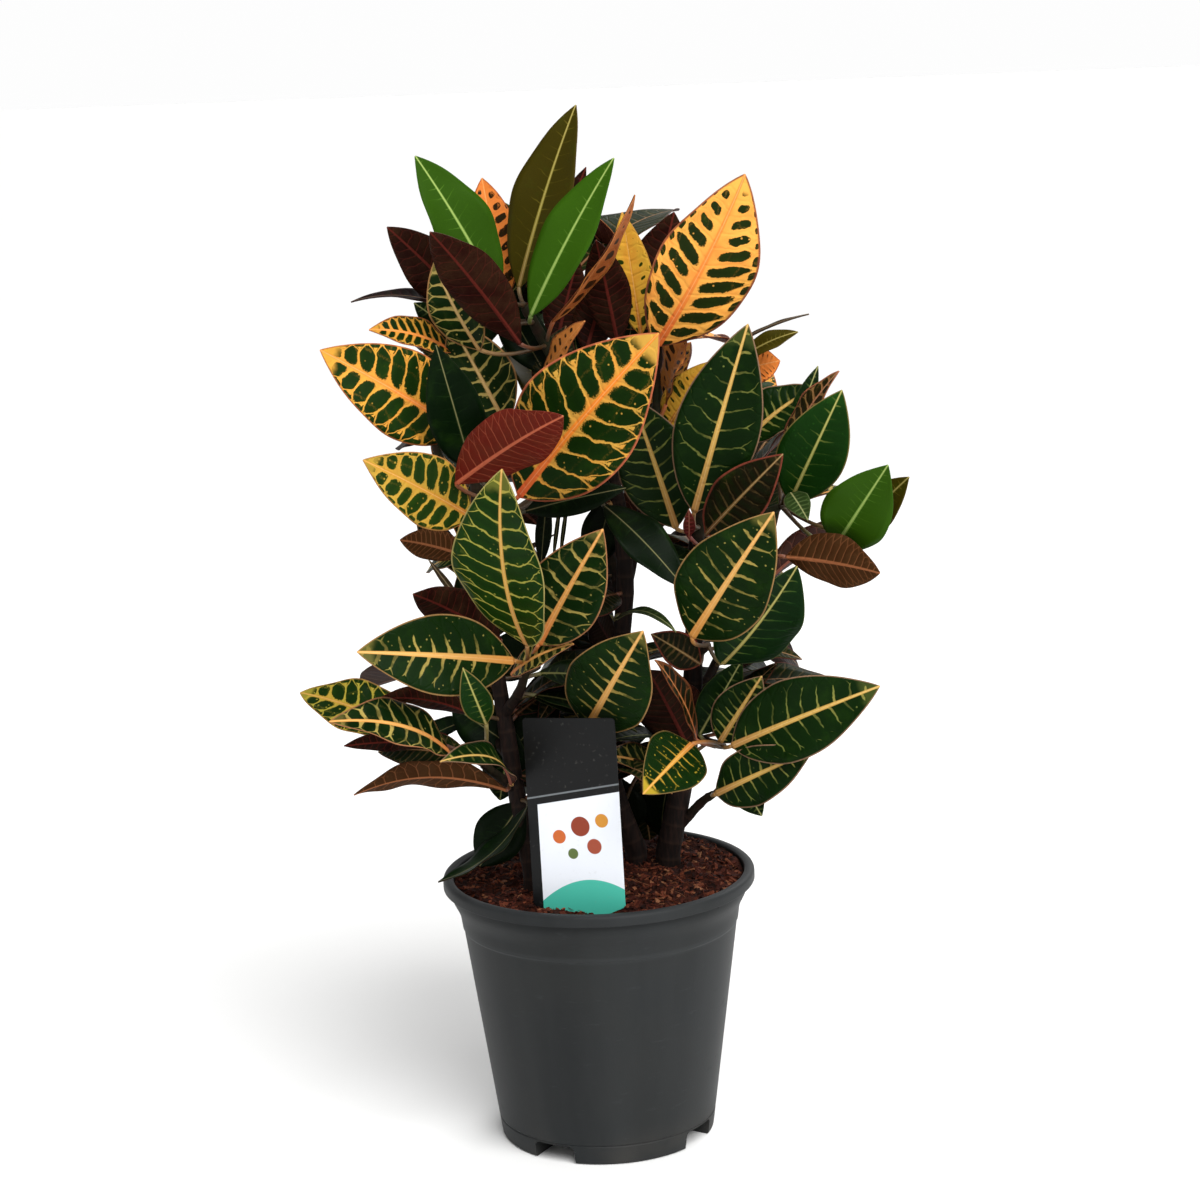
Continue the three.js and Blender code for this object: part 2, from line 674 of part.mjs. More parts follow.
// ---------------------------------------------------------------- leaves on the far side

// Leaves spiral round each far shoot by the golden angle, steeper towards its tip. One is left out
// where it would leave the bush's outline, close one of its gaps, or come too near another leaf.
const FAR = {
  seed: 20,
  perShoot: 13,
  goldenAngle: THREE.MathUtils.degToRad(137.5),
  petiole: 24,
  lengths: [132, 112, 92], // tried in turn
  slenderness: 0.42,
  arch: 0.07,
  lowest: -4, // degrees
  steepest: 72, // degrees
  droop: [6, 34], // degrees
  ownClearance: 8,
  otherClearance: 13,
  woodClearance: 20,
  reach: 164, // how far back a tip may lie
};

// Row, leftmost and rightmost column of the bush in the view.
const OUTLINE = [[150, 500, 614], [200, 440, 730], [230, 400, 750], [260, 410, 740],
  [300, 425, 715], [350, 345, 770], [400, 380, 840], [450, 370, 840], [500, 400, 878],
  [550, 408, 868], [600, 418, 800], [650, 365, 795], [700, 310, 866], [740, 345, 840],
  [780, 400, 800], [800, 510, 740]];

// Column and row ranges of the gaps that show the background.
const SEE_THROUGH = [[628, 570, 688, 642], [548, 508, 582, 556], [530, 316, 536, 326],
  [690, 735, 745, 832], [430, 800, 500, 850]];

function makeRandom(seed) {
  let state = seed;
  return () => {
    state = (state * 1664525 + 1013904223) % 4294967296;
    return state / 4294967296;
  };
}

function inOutline([column, row]) {
  for (let line = 0; line + 1 < OUTLINE.length; line += 1) {
    const [top, topLeft, topRight] = OUTLINE[line];
    const [bottom, bottomLeft, bottomRight] = OUTLINE[line + 1];
    if (row >= top && row <= bottom) {
      const share = (row - top) / (bottom - top);
      const left = topLeft + (bottomLeft - topLeft) * share;
      const right = topRight + (bottomRight - topRight) * share;
      return column > left && column < right;
    }
  }
  return false;
}

function showsThrough([column, row]) {
  return SEE_THROUGH.some(([left, top, right, bottom]) => (
    column > left && column < right && row > top && row < bottom));
}

function nearest(points, others) {
  let least = Infinity;
  points.forEach((point) => others.forEach((other) => {
    least = Math.min(least, point.distanceToSquared(other));
  }));
  return Math.sqrt(least);
}

// A leaf that leaves its root on a stalk and droops a little from its direction.
function farLeaf(root, azimuth, rise, droop, length, facing) {
  const heading = (degrees) => {
    const angle = THREE.MathUtils.degToRad(degrees);
    const flat = Math.cos(angle);
    return new THREE.Vector3(flat * Math.sin(azimuth), flat * Math.cos(azimuth), Math.sin(angle));
  };
  const base = root.clone().addScaledVector(heading(rise), FAR.petiole);
  const tip = base.clone().addScaledVector(heading(rise - droop), length);
  const leaf = shapeOf(tip, base, FAR.slenderness * length, FAR.arch * length, facing);
  leaf.far = true;
  leaf.root = root;
  leaf.points = bladePoints(leaf);
  return leaf;
}

function fits(leaf, stem, stems) {
  const behind = leaf.tip.y > 8 && leaf.tip.y < FAR.reach && leaf.base.y > -12;
  const places = leaf.points.map(placeInView);
  const hidden = places.every((place) => inOutline(place) && !showsThrough(place));
  if (!behind || !hidden) return false;
  return stems.every((other) => {
    const taken = other.leaves.flatMap((neighbour) => neighbour.points);
    if (other === stem) return nearest(leaf.points, taken) > FAR.ownClearance;
    return nearest(leaf.points, taken) > FAR.otherClearance
      && nearest(leaf.points, other.paths.flat()) > FAR.woodClearance;
  });
}

function farLeaves(stems) {
  const random = makeRandom(FAR.seed);
  stems.forEach((stem, which) => {
    stem.farPaths.forEach((path, shoot) => {
      for (let place = 0; place < FAR.perShoot; place += 1) {
        const share = (place + 0.5) / FAR.perShoot;
        const root = path[Math.round((0.3 + 0.7 * share) * (path.length - 1))];
        const azimuth = shoot * 1.1 + which * 0.7 + place * FAR.goldenAngle;
        const rise = FAR.lowest + (FAR.steepest - FAR.lowest) * share + 14 * (random() - 0.5);
        const size = 0.94 + 0.12 * random();
        const droop = FAR.droop[0] + (FAR.droop[1] - FAR.droop[0]) * random();
        const facing = new THREE.Vector3(0.9 * (random() - 0.5), 0.6 * random(), 1);
        const leaf = FAR.lengths
          .map((length) => farLeaf(root, azimuth, rise, droop, size * length, facing))
          .find((candidate) => fits(candidate, stem, stems));
        if (leaf) stem.leaves.push(leaf);
      }
    });
  });
}

// ---------------------------------------------------------------- assembly

const stems = Object.entries(STEMS).map(([name, plan]) => {
  const stem = growStem(plan);
  stem.name = name;
  stem.leaves = LEAVES[name].map(([, tip, base, width, arch, facing]) => {
    const leaf = shapeOf(seen(tip), seen(base), width, arch, new THREE.Vector3(...FACING[facing]));
    leaf.root = rootOf(leaf, stem.paths);
    leaf.points = bladePoints(leaf);
    return leaf;
  });
  return stem;
});
farLeaves(stems);

const plant = new THREE.Group();

function addMesh(name, solid, colour, roughness) {
  const material = new THREE.MeshStandardMaterial({ color: colour, roughness, metalness: 0 });
  const mesh = new THREE.Mesh(geometryOf(solid), material);
  mesh.name = name;
  plant.add(mesh);
}

addMesh('pot', makePot(), COLOURS.pot, 0.45);
addMesh('soil', makeSoil(stems), COLOURS.soil, 0.95);
addMesh('plant_label', makeLabel(0), COLOURS.label, 0.35);
stems.forEach((stem) => {
  const blades = stem.leaves.map((leaf) => leafSolid(leaf, leaf.root));
  addMesh(stem.name, joined([...stem.wood, ...blades]), COLOURS[stem.name], 0.4);
});

export default plant;
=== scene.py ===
# %% [markdown]
# # A potted croton
# The plant's solids come packed as a fixed frame: a nursery pot, its soil, a plant label and three
# leafy stems. This lesson dresses each of them. The plain solids say where everything is and how
# large it is, and the finer pieces made here stand in the same places, so nothing has to be fitted.

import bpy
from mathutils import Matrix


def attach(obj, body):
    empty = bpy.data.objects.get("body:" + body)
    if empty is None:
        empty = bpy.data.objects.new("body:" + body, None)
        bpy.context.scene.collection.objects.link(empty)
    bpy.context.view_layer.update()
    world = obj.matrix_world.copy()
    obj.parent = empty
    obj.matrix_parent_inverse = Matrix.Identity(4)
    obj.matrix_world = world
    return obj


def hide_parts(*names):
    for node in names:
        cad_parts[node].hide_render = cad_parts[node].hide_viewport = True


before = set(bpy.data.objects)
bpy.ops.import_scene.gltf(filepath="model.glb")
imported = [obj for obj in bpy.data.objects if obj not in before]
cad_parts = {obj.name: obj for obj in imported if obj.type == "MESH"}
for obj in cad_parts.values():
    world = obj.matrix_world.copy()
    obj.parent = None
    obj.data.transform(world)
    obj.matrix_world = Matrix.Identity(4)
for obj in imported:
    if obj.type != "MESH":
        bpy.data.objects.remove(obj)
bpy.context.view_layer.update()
print("nodes:", sorted(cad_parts))

# %% Tools of the trade
import math

import bmesh
import bpy
import numpy as np
from mathutils import Matrix, Vector

MM = 0.001

# %% [markdown]
# ## Camera, floor and light
# The plant was seen from about the height of its top, and from about 1.8 m away, which gives the pot's
# rim its open oval. The same view places the leaves later on, so its numbers are kept under one name.
# The camera tips down by `pitch` and rolls by a couple of degrees.

# %% The view
VIEW = {"distance": 1787, "height": 725, "side": 7.7, "focal": 2755, "centre": 600,
        "pitch": math.radians(11.34), "roll": math.radians(2.15)}

camera = bpy.data.objects.new("camera", bpy.data.cameras.new("camera"))
bpy.context.scene.collection.objects.link(camera)
camera.data.sensor_width = 36
camera.data.lens = VIEW["focal"] / (2 * VIEW["centre"]) * camera.data.sensor_width
camera.data.clip_end = 50
tilt = Matrix.Rotation(math.pi / 2 - VIEW["pitch"], 4, "X") @ Matrix.Rotation(-VIEW["roll"], 4, "Z")
place = Matrix.Translation(Vector((VIEW["side"], -VIEW["distance"], VIEW["height"])) * MM)
camera.matrix_world = place @ tilt
bpy.context.scene.camera = camera
print("lens", round(camera.data.lens, 1), "mm")

# %% [markdown]
# The plant was photographed against plain white in soft daylight. A wide floor that curves up far
# behind would show its bend from some sides, so the floor is one very large disc that meets a sky of
# the same paleness. The sky is darker overhead, so that it doesn't wash out the shade between the
# leaves. A soft sun from the upper right gives the leaves their light and dark sides. One large lamp
# at the right puts a sheen on their faces, and one behind lights the far side of the bush.

# %% Floor and lamps
floor_mesh = bpy.data.meshes.new("floor")
rim = [(150 * math.cos(a), 150 * math.sin(a), -0.0004) for a in np.linspace(0, 2 * math.pi, 96, False)]
floor_mesh.from_pydata(rim, [], [list(range(96))])
floor = bpy.data.objects.new("floor", floor_mesh)
bpy.context.scene.collection.objects.link(floor)


def add_lamp(name, kind, at, power, **sizes):
    """A lamp that stands somewhere and looks at the middle of the plant."""
    lamp = bpy.data.objects.new(name, bpy.data.lights.new(name, kind))
    lamp.data.energy = power
    for key, value in sizes.items():
        setattr(lamp.data, key, value)
    lamp.location = at
    lamp.rotation_euler = (Vector((0, 0, 0.4)) - Vector(at)).to_track_quat("-Z", "Y").to_euler()
    bpy.context.scene.collection.objects.link(lamp)


add_lamp("sun", "SUN", (0.7, -1.8, 2.6), 3.1, angle=math.radians(42))
add_lamp("window", "AREA", (1.6, -1.1, 1.3), 9, size=0.8)
add_lamp("edge", "AREA", (0.9, 1.7, 1.8), 20, size=1.2)
print(len(bpy.data.lights), "lamps")

# %% [markdown]
# ## Writing node trees as sums
# Both the finishes and the shapes below are node trees. Wiring them by hand is slow to write and hard
# to read, so a small class holds one output socket and lets Python's own signs add the Math nodes:
# `1 - mask * 0.5` makes two of them. Where either side is a vector, Vector Math is used instead.

# %% A socket that can be reckoned with
class Wire:
    """An output socket of a node tree, with signs that add nodes to the tree."""

    def __init__(self, socket):
        self.socket = socket
        self.tree = socket.id_data

    def __getitem__(self, name):
        return Wire(self.socket.node.outputs[name])

    def _reckon(self, operation, *values):
        def flat(value):
            if isinstance(value, Wire):
                return value.socket.type == "VECTOR"
            return isinstance(value, (tuple, Vector))
        kind = "ShaderNodeVectorMath" if any(map(flat, values)) else "ShaderNodeMath"
        return node(self.tree, kind, dict(enumerate(values)), operation=operation)

    def __add__(self, other): return self._reckon("ADD", self, other)
    def __radd__(self, other): return self._reckon("ADD", other, self)
    def __sub__(self, other): return self._reckon("SUBTRACT", self, other)
    def __rsub__(self, other): return self._reckon("SUBTRACT", other, self)
    def __mul__(self, other): return self._reckon("MULTIPLY", self, other)
    def __rmul__(self, other): return self._reckon("MULTIPLY", other, self)
    def __truediv__(self, other): return self._reckon("DIVIDE", self, other)
    def __pow__(self, other): return self._reckon("POWER", self, other)
    def __abs__(self): return self._reckon("ABSOLUTE", self)
    def __gt__(self, other): return self._reckon("GREATER_THAN", self, other)
    def __lt__(self, other): return self._reckon("LESS_THAN", self, other)

    def do(self, operation, *others):
        """Any other Math operation on this number, such as SINE, FRACT, MINIMUM or MAXIMUM."""
        return self._reckon(operation, self, *others)

    def rise(self, start, end):
        """0 below start, 1 above end, smooth between. With start above end it falls instead."""
        return node(self.tree, "ShaderNodeMapRange", {"Value": self, "From Min": start, "From Max": end},
                    interpolation_type="SMOOTHSTEP")


def node(tree, kind, inputs=None, **settings):
    """Adds a node, makes its settings, then fills its inputs by name or number. Gives its output."""
    made = tree.nodes.new(kind)
    for name, value in settings.items():
        if name == "stops":
            ramp = made.color_ramp.elements
            while len(ramp) < len(value):
                ramp.new(0.5)
            for stop, (at, colour) in zip(ramp, value):
                stop.position, stop.color = at, colour
        else:
            setattr(made, name, value)
    for name, value in (inputs or {}).items():
        socket = made.inputs[name]
        if isinstance(value, Wire):
            tree.links.new(value.socket, socket)
        elif value is not None:
            socket.default_value = value
    shown = [output for output in made.outputs if output.enabled]
    return Wire(shown[0]) if shown else made


def scaled(vector, number):
    """A vector times a number."""
    return node(vector.tree, "ShaderNodeVectorMath", {0: vector, "Scale": number}, operation="SCALE")


def joined(tree, x, y, z):
    """A vector of three numbers."""
    return node(tree, "ShaderNodeCombineXYZ", {"X": x, "Y": y, "Z": z})


def parted(vector):
    """The three numbers of a vector."""
    first = node(vector.tree, "ShaderNodeSeparateXYZ", {0: vector})
    return first["X"], first["Y"], first["Z"]


def mixed(factor, first, second):
    """A colour between two colours."""
    made = node(factor.tree, "ShaderNodeMix", {0: factor, 6: first, 7: second}, data_type="RGBA")
    return Wire(made.socket.node.outputs[2])


# %% [markdown]
# Colours are written as they look on a screen, in six hexadecimal digits, and turned into the linear
# light that the shader reckons with.

# %% Colours and finishes
def paint(code):
    """The linear colour of a six-digit screen colour."""
    parts = [int(code[i:i + 2], 16) / 255 for i in (0, 2, 4)]
    return tuple(p / 12.92 if p <= 0.04045 else ((p + 0.055) / 1.055) ** 2.4 for p in parts) + (1.0,)


def new_finish(name):
    """An empty material: its node tree, its surface shader and itself."""
    finish = bpy.data.materials.new(name)
    finish.use_nodes = True
    surface = finish.node_tree.nodes["Principled BSDF"]
    return finish, finish.node_tree, surface


def feed(tree, surface, **wires):
    """Links wires to the shader's sockets, whose names are written with _ for a space."""
    for name, wire in wires.items():
        tree.links.new(wire.socket, surface.inputs[name.replace("_", " ")])


def bumped(tree, height, distance, strength=1.0):
    """A normal that follows a height between 0 and 1, over a distance in metres."""
    return node(tree, "ShaderNodeBump", {"Height": height, "Distance": distance, "Strength": strength})


def object_place(tree):
    return node(tree, "ShaderNodeTexCoord")["Object"]


def noise(tree, vector, scale, detail=3.0, roughness=0.5):
    made = node(tree, "ShaderNodeTexNoise",
                {"Vector": vector, "Scale": scale, "Detail": detail, "Roughness": roughness})
    return Wire(made.socket.node.outputs[0])


# %% [markdown]
# ## Making pieces
# A piece is a mesh whose object stays at the origin. Where a node tree makes the shape, its result is
# kept as a plain mesh, and the modifier goes.

# %% From shape to piece
def new_piece(name, mesh):
    piece = bpy.data.objects.new(name, mesh)
    bpy.context.scene.collection.objects.link(piece)
    return piece


def new_tree(name, numbers=()):
    """A Geometry Nodes tree with a geometry input and output, and named number inputs."""
    tree = bpy.data.node_groups.new(name, "GeometryNodeTree")
    tree.interface.new_socket("Geometry", in_out="INPUT", socket_type="NodeSocketGeometry")
    for label, value in dict(numbers).items():
        kind = "NodeSocketInt" if isinstance(value, int) else "NodeSocketFloat"
        socket = tree.interface.new_socket(label, in_out="INPUT", socket_type=kind)
        socket.default_value = value
    tree.interface.new_socket("Geometry", in_out="OUTPUT", socket_type="NodeSocketGeometry")
    tree.nodes.new("NodeGroupInput")
    tree.nodes.new("NodeGroupOutput")
    return tree


def given(tree, name):
    return Wire(tree.nodes["Group Input"].outputs[name])


def hand_over(tree, geometry):
    tree.links.new(geometry.socket, tree.nodes["Group Output"].inputs[0])


def grow(piece, tree, **numbers):
    """Runs a tree on a piece and keeps the result as the piece's own mesh."""
    modifier = piece.modifiers.new(tree.name, "NODES")
    modifier.node_group = tree
    for item in tree.interface.items_tree:
        label = item.name.replace(" ", "_")
        if item.in_out == "INPUT" and label in numbers:
            modifier[item.identifier] = numbers[label]
    graph = bpy.context.evaluated_depsgraph_get()
    graph.update()
    mesh = bpy.data.meshes.new_from_object(piece.evaluated_get(graph), depsgraph=graph)
    piece.modifiers.clear()
    piece.data = mesh
    return piece


def named(tree, name, kind="FLOAT_VECTOR"):
    return node(tree, "GeometryNodeInputNamedAttribute", {"Name": name}, data_type=kind)


def stored(geometry, name, value, kind="FLOAT_VECTOR"):
    return node(geometry.tree, "GeometryNodeStoreNamedAttribute",
                {"Geometry": geometry, "Name": name, "Value": value}, data_type=kind, domain="POINT")


def volume_of(piece):
    """Cubic centimetres inside a piece. It comes out negative if the faces point inwards."""
    shape = bmesh.new()
    shape.from_mesh(piece.data)
    size = shape.calc_volume(signed=True) * 1e6
    shape.free()
    return round(size, 1)


def finish_piece(piece, node_names):
    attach(piece, "root")
    if node_names:
        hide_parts(*node_names)
    faces = sum(len(face.vertices) - 2 for face in piece.data.polygons)
    print(piece.name, faces, "triangles,", volume_of(piece), "cm3")


# %% [markdown]
# ## The pot
# A thin moulded pot is a turned shape: a profile spun round its axis. It widens upwards, carries a
# faint ring where stacked pots would rest, and ends in a skirted lip with a rounded top. The profile is
# given as radius, height and how far the corner is rounded, in millimetres, up the outside and down
# the inside. After spinning, the recess and the four notches under the foot are cut away, and then the
# drain holes.

# %% Pot sizes and profile
POT = {"height": 182, "lip": 105, "mouth": 98, "skirt": 174.5, "neck": 94, "neck_height": 158, "flare": 10,
       "base": 72.4, "wall": 1.8}


def body_radius(height):
    return POT["base"] + (POT["neck"] - POT["base"]) * height / POT["neck_height"]


def rounded(points, radii, steps=5):
    """The same profile with each corner rounded: two lines joined by a quadratic curve."""
    made = [points[0]]
    for before, corner, after, radius in zip(points, points[1:], points[2:], radii[1:]):
        before, corner, after = np.array(before), np.array(corner), np.array(after)
        to_before = (before - corner) / np.linalg.norm(before - corner)
        to_after = (after - corner) / np.linalg.norm(after - corner)
        start, end = corner + radius * to_before, corner + radius * to_after
        for step in range(steps + 1):
            t = step / steps
            made.append(tuple((1 - t) ** 2 * start + 2 * t * (1 - t) * corner + t ** 2 * end))
    return made + [points[-1]]


lip, mouth, wall, top = POT["lip"], POT["mouth"], POT["wall"], POT["height"]
neck, skirt = POT["neck_height"], POT["skirt"]
flared = neck + POT["flare"]
POT_PROFILE = [(0, 0, 0), (POT["base"], 0, 1.4), (body_radius(12.2), 12.2, 0.2),
               (body_radius(13) - 0.7, 13, 0.25), (body_radius(14.2), 14.2, 0.2),
               (body_radius(146.6), 146.6, 0.4), (body_radius(147.6) + 0.6, 147.6, 0.4),
               (body_radius(neck) + 0.6, neck, 4), (mouth + wall, flared, 3),
               (mouth + wall, 179.4, 0.8), (lip - wall, 179.4, 0.8), (lip - wall, skirt, 0.3),
               (lip, skirt, 0.6), (lip, top, 3.4), (mouth, top, 2.4), (mouth, flared + 0.6, 3),
               (body_radius(neck) - wall, neck + 0.6, 0)]
outside = rounded([p[:2] for p in POT_PROFILE], [p[2] for p in POT_PROFILE])
POT_FLOOR = 13.8
inside = [(body_radius(POT_FLOOR) - wall, POT_FLOOR), (0, POT_FLOOR)]
print(len(outside) + len(inside), "points in the profile")


# %% Spin and cut the pot
def spun(name, profile, steps):
    """A closed mesh turned round the upright axis from radius and height in millimetres."""
    mesh = bpy.data.meshes.new(name)
    shape = bmesh.new()
    verts = [shape.verts.new((radius * MM, 0, height * MM)) for radius, height in profile]
    edges = [shape.edges.new(pair) for pair in zip(verts, verts[1:])]
    bmesh.ops.spin(shape, geom=verts + edges, cent=(0, 0, 0), axis=(0, 0, 1),
                   angle=2 * math.pi, steps=steps, use_merge=True)
    bmesh.ops.remove_doubles(shape, verts=shape.verts, dist=1e-6)
    bmesh.ops.recalc_face_normals(shape, faces=shape.faces)
    shape.to_mesh(mesh)
    shape.free()
    return mesh


def cut(piece, cutter_mesh):
    """Takes a closed mesh away from a piece."""
    cutter = new_piece("cutter", cutter_mesh)
    modifier = piece.modifiers.new("cut", "BOOLEAN")
    modifier.operation, modifier.solver, modifier.object = "DIFFERENCE", "EXACT", cutter
    graph = bpy.context.evaluated_depsgraph_get()
    mesh = bpy.data.meshes.new_from_object(piece.evaluated_get(graph), depsgraph=graph)
    piece.modifiers.clear()
    piece.data = mesh
    bpy.data.objects.remove(cutter)


def extruded(outline, low, high, turn):
    """A closed prism: an outline in x and z, pulled from y = low to high, turned round the axis."""
    mesh = bpy.data.meshes.new("prism")
    shape = bmesh.new()
    near = [shape.verts.new((x * MM, low * MM, z * MM)) for x, z in outline]
    far = [shape.verts.new((x * MM, high * MM, z * MM)) for x, z in outline]
    shape.faces.new(near)
    shape.faces.new(far[::-1])
    for i in range(len(outline)):
        j = (i + 1) % len(outline)
        shape.faces.new((near[i], far[i], far[j], near[j]))
    bmesh.ops.recalc_face_normals(shape, faces=shape.faces)
    bmesh.ops.rotate(shape, verts=shape.verts, cent=(0, 0, 0), matrix=Matrix.Rotation(turn, 3, "Z"))
    shape.to_mesh(mesh)
    shape.free()
    return mesh


FOOT = {"height": 12, "inner": 50, "half": 15, "corner": 4, "angles": (-30, 57, 150, 237),
        "notch": (-103, -40)}
pot = new_piece("nursery_pot", spun("nursery_pot", outside + inside, 160))
cut(pot, spun("recess", [(0, -5), (FOOT["inner"], -5), (FOOT["inner"], FOOT["height"]),
                         (0, FOOT["height"])], 96))
arch = [(-FOOT["half"], -5), (FOOT["half"], -5)]
for side in (1, -1):
    for step in range(7):
        angle = math.pi / 2 * (step / 6 if side == 1 else 1 - step / 6)
        arch.append((side * (FOOT["half"] - FOOT["corner"] + FOOT["corner"] * math.cos(angle)),
                     FOOT["height"] - FOOT["corner"] + FOOT["corner"] * math.sin(angle)))
for degrees in FOOT["angles"]:
    cut(pot, extruded(arch, *FOOT["notch"], math.radians(degrees)))


# %% [markdown]
# A pot floor only drains if water can leave it, so there are nine holes: one in the middle, four round
# it and one in each notch.

# %% Drain holes
HOLES = {"radius": 5, "round_middle": 28, "in_notches": 61}


def peg(radius, x, y, sides=28):
    mesh = spun("peg", [(0, 2), (radius, 2), (radius, 20), (0, 20)], sides)
    mesh.transform(Matrix.Translation((x * MM, y * MM, 0)))
    return mesh


def on_circle(radius, angles):
    """Places round the pot's axis, at angles in degrees."""
    return [(radius * math.cos(math.radians(d)), radius * math.sin(math.radians(d))) for d in angles]


holes = [(0, 0)] + on_circle(HOLES["in_notches"], [angle - 90 for angle in FOOT["angles"]])
holes += on_circle(HOLES["round_middle"], (45, 135, 225, 315))
for x, y in holes:
    cut(pot, peg(HOLES["radius"], x, y))
pot.data.shade_smooth()
pot.data.set_sharp_from_angle(angle=math.radians(38))

# %% [markdown]
# Its plastic is charcoal grey with a soft sheen. Recycled plastic is never one even grey: it has faint
# upright flow marks from the mould, a fine grain, pale rubbed spots on the lip, and dust low down. A pale
# band round the stacking ring is a painted highlight. All of these are noise stretched in one direction or
# another.

# %% Pot plastic
pot_plastic, tree, surface = new_finish("Pot_plastic")
where = object_place(tree)
_, _, z = parted(where)
flow = noise(tree, where * (26.0, 26.0, 2.2), 1.0, 4)
grain = noise(tree, where, 900.0, 2)
cloud = noise(tree, where, 14.0, 4)
scuff = noise(tree, where * (60.0, 60.0, 240.0), 1.0, 5, 0.65).rise(0.6, 0.74)
# The pale band on top of the lip is rubbed wear. The fainter pale band round the stacking ring is a painted
# highlight.
lip_wear_and_ring_highlight = z.rise(0.1805, 0.182) * 0.3 + z.rise(0.1445, 0.147) * z.rise(0.151, 0.1485) * 0.2
dust = z.rise(0.03, 0.0) * cloud.rise(0.4, 0.62) * 0.5
tone = mixed(flow.rise(0.3, 0.7), paint("212324"), paint("292b2c"))
tone = mixed(cloud.rise(0.35, 0.7) * 0.4, tone, paint("2a2b2a"))
tone = mixed((lip_wear_and_ring_highlight * 0.7 + scuff * 0.15).do("MINIMUM", 1.0), tone, paint("45484a"))
tone = mixed(dust * 0.6, tone, paint("47433e"))
feed(tree, surface, Base_Color=tone,
     Roughness=0.44 + flow * 0.12 + dust * 0.3 + scuff * 0.1,
     Normal=bumped(tree, grain * 0.35 + flow * 0.5 + scuff * 0.3, 0.00025, 0.5))
surface.inputs["Specular IOR Level"].default_value = 0.12
pot.data.materials.clear()
pot.data.materials.append(pot_plastic)
finish_piece(pot, ["pot"])

# %% [markdown]
# ## The soil
# Potting mix is a low mound of dark peat with bark chips and coir fibres lying every way. The mound is
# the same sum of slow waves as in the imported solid. Finer lumps are added by a noise, and the chips and
# fibres are scattered by Geometry Nodes, because there are thousands and none matters alone.

# %% The mound
SOIL = {"level": 177, "mound": 5, "tilt": 0.06, "relief": 1.6, "radius": 97.6, "lumps_over": (168.8, 170.5),
        "litter_above": 169.2, "litter_within": 94.5}


def soil_height(x, y):
    out = min(1, math.hypot(x, y) / POT["mouth"])
    waves = math.sin(0.11 * x + 1.3) * math.cos(0.13 * y) + math.sin(0.23 * y - 0.17 * x)
    mound = SOIL["mound"] * (1 - out * out) + SOIL["tilt"] * y
    return SOIL["level"] + mound + SOIL["relief"] * 0.5 * (waves + math.cos(0.31 * x + 0.2 * y))


def mound_mesh(rings, spokes):
    """A closed block: the mound on top, then down the pot's inner wall to its floor."""
    radii = [SOIL["radius"] * (ring / rings) ** 0.8 for ring in range(1, rings + 1)]
    turns = [2 * math.pi * spoke / spokes for spoke in range(spokes)]
    points = [(0, 0, soil_height(0, 0))]
    for radius in radii:
        points += [(radius * math.cos(a), radius * math.sin(a),
                    soil_height(radius * math.cos(a), radius * math.sin(a))) for a in turns]
    for radius, height in ((SOIL["radius"], flared + 0.7), (body_radius(neck) - 2.1, neck + 0.6),
                           (body_radius(14) - 2.1, 14.1)):
        points += [(radius * math.cos(a), radius * math.sin(a), height) for a in turns]
    faces = [(0, 1 + s, 1 + (s + 1) % spokes) for s in range(spokes)]
    for ring in range(rings + 2):
        inner, outer = 1 + ring * spokes, 1 + (ring + 1) * spokes
        faces += [(inner + s, outer + s, outer + (s + 1) % spokes, inner + (s + 1) % spokes)
                  for s in range(spokes)]
    last = 1 + (rings + 2) * spokes
    faces.append([last + s for s in range(spokes)][::-1])
    mesh = bpy.data.meshes.new("soil")
    mesh.from_pydata([(x * MM, y * MM, z * MM) for x, y, z in points], [], faces)
    return mesh


def lumpy_tree(finish):
    """Lifts the top of the mound by two noises, and leaves the sides alone."""
    tree = new_tree("Lumpy mix", {"Lump height": 0.0022, "Lump size": 160.0})
    place = node(tree, "GeometryNodeInputPosition")
    _, _, z = parted(place)
    on_top = z.rise(*(height * MM for height in SOIL["lumps_over"]))
    coarse = noise(tree, place, given(tree, "Lump size"), 2, 0.6)
    fine = noise(tree, place, given(tree, "Lump size") * 4.0, 3, 0.7)
    lift = (coarse + fine * 0.6 - 0.8) * given(tree, "Lump height") * on_top
    moved = node(tree, "GeometryNodeSetPosition", {"Geometry": given(tree, "Geometry"),
                                                   "Offset": joined(tree, 0.0, 0.0, lift)})
    skin = node(tree, "GeometryNodeSetShadeSmooth", {0: moved})
    skin = node(tree, "GeometryNodeRealizeInstances", {0: skin})
    hand_over(tree, node(tree, "GeometryNodeSetMaterial", {"Geometry": skin, "Material": finish}))
    return tree


# %% [markdown]
# The chips are small boxes squashed and bent by noise after they are laid, so that no two are alike.
# Each carries a number of its own, `bit_tone`, and the finish turns that into its colour. The fibres are
# short bent curves swept by a thin round profile.

